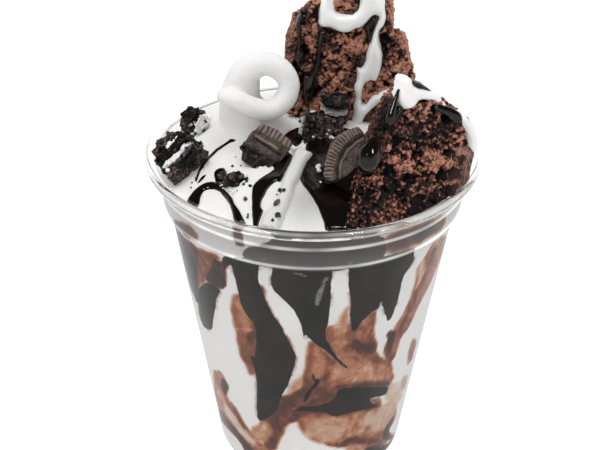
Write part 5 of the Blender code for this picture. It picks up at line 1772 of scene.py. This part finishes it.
def along_line(u, v, start, end):
    """How far along a line each place is, as a share, and how far from it in mm."""
    run = np.array(end) - np.array(start)
    length = np.linalg.norm(run)
    share = ((u - start[0]) * run[0] + (v - start[1]) * run[1]) / length ** 2
    offset = ((v - start[1]) * run[0] - (u - start[0]) * run[1]) / length
    return share, offset, length


def bars(u, v, start, end, count, half_length, lean=0.0):
    """A row of rounded bars across a line, as a height from 0 to 1."""
    share, offset, _ = along_line(u, v, start, end)
    wave = np.abs(np.sin((share + offset * lean) * (count - 1) * math.pi + math.pi / 2)) ** 0.8
    ends = smooth_step(half_length - np.abs(offset), 0.0, 0.5)
    return wave * ends * smooth_step(share, -0.06, 0.0) * smooth_step(1.06 - share, 0.0, 0.06)


def stroke(u, v, start, end, half_width):
    """One straight bar with round ends, as a height from 0 to 1."""
    share, offset, length = along_line(u, v, start, end)
    past = np.maximum(np.maximum(-share, share - 1.0), 0.0) * length
    return smooth_step(half_width - np.hypot(past, offset), 0.0, 0.35)


RIGHT_RING = ring_through(COOKIE_RIGHT[2], COOKIE_RIGHT[5], COOKIE_RIGHT[7])
print("radius of the right wafer's rim:", round(RIGHT_RING[1], 1), "mm")

# %% Pressed patterns
RIDGE_GAP = 1.1


def front_pattern(u, v):
    """Height of the front wafer's face, and 1 where its face has broken off."""
    relief = 0.9 * bars(u, v, (-1.7, 6.0), (6.6, 1.6), 8, 1.6)
    relief = relief + 0.7 * stroke(u, v, (-3.2, 3.6), (3.4, -0.2), 0.55)
    relief = relief - 0.5 * stroke(u, v, (-2.8, 2.4), (3.8, -1.6), 0.4)
    return relief, smooth_step(-(0.5 * u + v), 1.0, 3.2)


def right_pattern(u, v):
    """Height of the right wafer's face, with its ridges round the ring, and where it broke."""
    centre, radius = RIGHT_RING
    inside = radius - np.hypot(u - centre[0], v - centre[1])
    along = np.arctan2(v - centre[1], u - centre[0]) * radius
    ridges = np.abs(np.sin(along * math.pi / RIDGE_GAP)) ** 0.8
    relief = 0.75 * ridges * smooth_step(inside, 0.2, 0.5) * smooth_step(3.6 - inside, 0.0, 0.5)
    relief = relief + 0.45 * smooth_step(0.5 - np.abs(inside - 5.0), 0.0, 0.3)
    relief = relief - 0.4 * smooth_step(0.4 - np.abs(inside - 4.1), 0.0, 0.3)
    return relief, smooth_step(-v, 8.4, 9.8)


u, v = np.meshgrid(np.arange(-8.0, 8.0, 0.1), np.arange(-8.0, 8.0, 0.1))
print("ridges stand out by", round(float(front_pattern(u, v)[0].max()), 2), "mm at most")

# %% Pressed wafers
FACE_VOXEL = 0.2
for name, outline, plane, pattern, seed in (
        ("cookie_front", COOKIE_FRONT, FRONT_FACE, front_pattern, 61),
        ("cookie_right", COOKIE_RIGHT, RIGHT_FACE, right_pattern, 67)):
    item = melt(prism(name + "_wafer", outline, plane, WAFER_THICKNESS), FACE_VOXEL, rounds=3)
    points, normals = read_points(item)
    local = flat_view(points, plane)
    u, v, face = local[:, 0], local[:, 1], smooth_step(local[:, 2], -0.5, -0.1)
    relief, broken = pattern(u + 0.25 * clouds(points, 1.6, seed + 2),
                             v + 0.25 * clouds(points, 1.6, seed + 3))
    inner = smooth_step(edge_distance(local[:, :2], [outline]), 0.0, 0.5)
    relief = relief * face * (1.0 - broken) * (0.4 + 0.6 * inner)
    coarse, number = pebbles(points, 1.2, seed)
    fine, _ = pebbles(points, 0.5, seed + 1)
    torn = np.maximum(broken * face, 1.0 - face)
    eaten = torn * (0.9 * np.clip(coarse / 0.8, 0.0, 1.0) + 0.5 * (number < 0.3))
    eaten = eaten + 0.25 * np.clip(fine, 0.0, 1.0)
    eaten = eaten + 0.35 * np.clip(clouds(points, 1.8, seed + 4, 3) + 0.2, 0.0, 1.0)
    moved = points - normals * (eaten * 0.8)[:, None]
    moved += np.array(plane.to_3x3() @ Vector((0.0, 0.0, 1.0))) * relief[:, None]
    write_points(item, moved)
    # raised ridges stored lighter and eaten places darker, for partly painted highlight and shade
    store(item, "relief", np.clip(0.62 + relief * 0.5 - eaten * 0.45, 0.0, 1.0))
    serve(item, pressed, "chocolate_wafer", name)

# %% [markdown]
# ## Crumbs
# Breaking cookies leaves crumbs: black specks on the ribbon and the cream, and white crumbs
# of filling on the dark pieces. Each is a small uneven stone that sits on what lies under
# it: a line of sight finds the place.

# %% Crumb places
DARK_CRUMBS = (
    # pixel x, y, half-size in mm
    (281.0, 191.0, 0.75), (283.5, 190.6, 0.6), (279.6, 190.2, 0.5), (277.0, 203.0, 0.9),
    (275.4, 204.4, 0.6), (278.6, 201.6, 0.5), (278.0, 215.0, 0.8), (277.0, 216.4, 0.5),
    (273.0, 220.2, 0.5), (245.5, 199.0, 0.6), (248.0, 215.0, 0.4), (247.4, 217.4, 0.35),
    (232.6, 166.4, 0.4), (235.4, 157.4, 0.3), (277.0, 194.6, 0.3), (240.6, 165.8, 0.25),
    (200.0, 160.0, 0.35), (196.0, 178.0, 0.4), (192.0, 183.0, 0.35), (198.6, 172.0, 0.3),
    (203.0, 168.0, 0.3), (191.0, 188.0, 0.45), (222.0, 187.0, 0.5), (244.0, 184.4, 0.45),
    (198.0, 118.0, 0.8), (202.0, 114.0, 0.9), (204.0, 131.0, 0.7), (181.0, 156.0, 0.6),
    (175.0, 150.0, 0.5), (186.0, 148.0, 0.5), (192.0, 146.0, 0.6), (196.0, 166.0, 0.7),
    (205.0, 122.0, 0.6), (222.0, 176.0, 1.2), (228.0, 180.0, 1.2), (234.0, 176.0, 1.2),
    (240.0, 177.0, 1.1), (246.0, 181.0, 0.9), (226.0, 186.0, 0.9), (238.0, 184.0, 0.9),
    (218.0, 184.0, 0.6), (250.0, 186.0, 0.6), (309.0, 125.0, 0.9), (306.0, 131.0, 1.0),
    (312.0, 119.0, 0.8), (322.0, 133.0, 0.8), (300.5, 122.0, 0.6),
)
WHITE_CRUMBS = (
    # pixel x, y, half-size in mm
    (165.0, 167.0, 0.7), (168.0, 170.0, 0.6), (170.0, 165.6, 0.5), (192.0, 133.6, 0.5),
    (196.0, 130.0, 0.6), (205.0, 117.0, 0.8), (207.6, 121.0, 0.9), (204.6, 124.6, 0.8),
    (201.0, 127.4, 0.7), (209.4, 118.4, 0.6), (212.0, 116.6, 0.5), (190.0, 125.0, 0.6),
    (193.6, 122.4, 0.5), (230.6, 190.8, 0.7), (234.0, 192.6, 0.7), (237.0, 190.4, 0.6),
    (240.6, 184.8, 0.6), (243.0, 182.0, 0.5), (245.6, 176.0, 0.5), (329.4, 130.0, 0.4),
    (330.6, 137.0, 0.6), (333.6, 138.6, 0.5), (327.0, 134.0, 0.3), (318.2, 167.0, 0.8),
    (319.0, 170.6, 0.7), (320.6, 182.0, 0.35), (299.0, 180.0, 0.3), (226.0, 183.0, 0.5),
    (222.6, 185.6, 0.5), (302.6, 118.0, 0.5), (301.4, 126.0, 0.5), (314.0, 137.0, 0.4),
)
print("crumbs:", len(DARK_CRUMBS), "dark and", len(WHITE_CRUMBS), "white")

# %% Crumbs
CRUMB_HEIGHT = 0.75
grounds = [tree_of(item) for item in bpy.data.objects
           if item.get("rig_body") and item.type == "MESH"
           and not item.get("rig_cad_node") and item.name != "cup_clear"]


def first_hit(px, py):
    """The nearest place on the food along a line of sight, and its normal."""
    best = None
    for ground in grounds:
        spot, normal, _, reach = ground.ray_cast(EYE, sight(px, py))
        if spot is not None and (best is None or reach < best[2]):
            best = (spot, normal, reach)
    return best


def crumbs(name, rows, seed, finish, slot):
    """Uneven stones on the food, one for each row, joined into one piece."""
    centres, radii, ways = [], [], []
    for px, py, size in rows:
        hit = first_hit(px, py)
        if hit:
            centres.append(tuple(hit[0] + hit[1] * size * 0.3))
            radii.append(size)
            ways.append(tuple(hit[1]))
    item = balls(name, np.array(centres), radii, (np.array(ways), CRUMB_HEIGHT), detail=3)
    points, _ = read_points(item)
    owner = np.repeat(np.arange(len(radii)), len(points) // len(radii))
    offset = points - np.array(centres)[owner]
    bumps = clouds(points, 0.8, seed, 3)
    write_points(item, np.array(centres)[owner] + offset * (0.95 + 0.5 * bumps)[:, None])
    store(item, "relief", np.clip(0.55 + 0.4 * bumps, 0.0, 1.0))
    return serve(item, finish, slot)


crumbs("cookie_crumbs", DARK_CRUMBS, 5, wafer, "chocolate_wafer")
crumbs("cream_crumbs", WHITE_CRUMBS, 6, filling, "cookie_cream")

# %% [markdown]
# ## The sweep
# The floor is a plain white sheet. Most of its white is light of its own, so it stays as
# pale as the shot's ground, lights the cup from below and takes only a faint shadow. It is
# left out of reflections: its mirror image would lie over the lower wall as a white veil.

# %% Floor
FLOOR_HALF, FLOOR_DROP = 3000.0, 0.3
signs = ((-1, -1), (1, -1), (1, 1), (-1, 1))
corners = [(x * FLOOR_HALF, y * FLOOR_HALF, -FLOOR_DROP) for x, y in signs]
floor = new_piece("floor", corners, [(0, 1, 2, 3)])
sheet = Finish("white_sheet", Roughness=0.9, Base_Color=grey(0.25), Specular_IOR_Level=0.0,
               Emission_Color=grey(1.0), Emission_Strength=1.0)
floor.data.materials.append(sheet.material)
floor.visible_glossy = False
print("floor:", round(2 * FLOOR_HALF), "mm wide, staged")
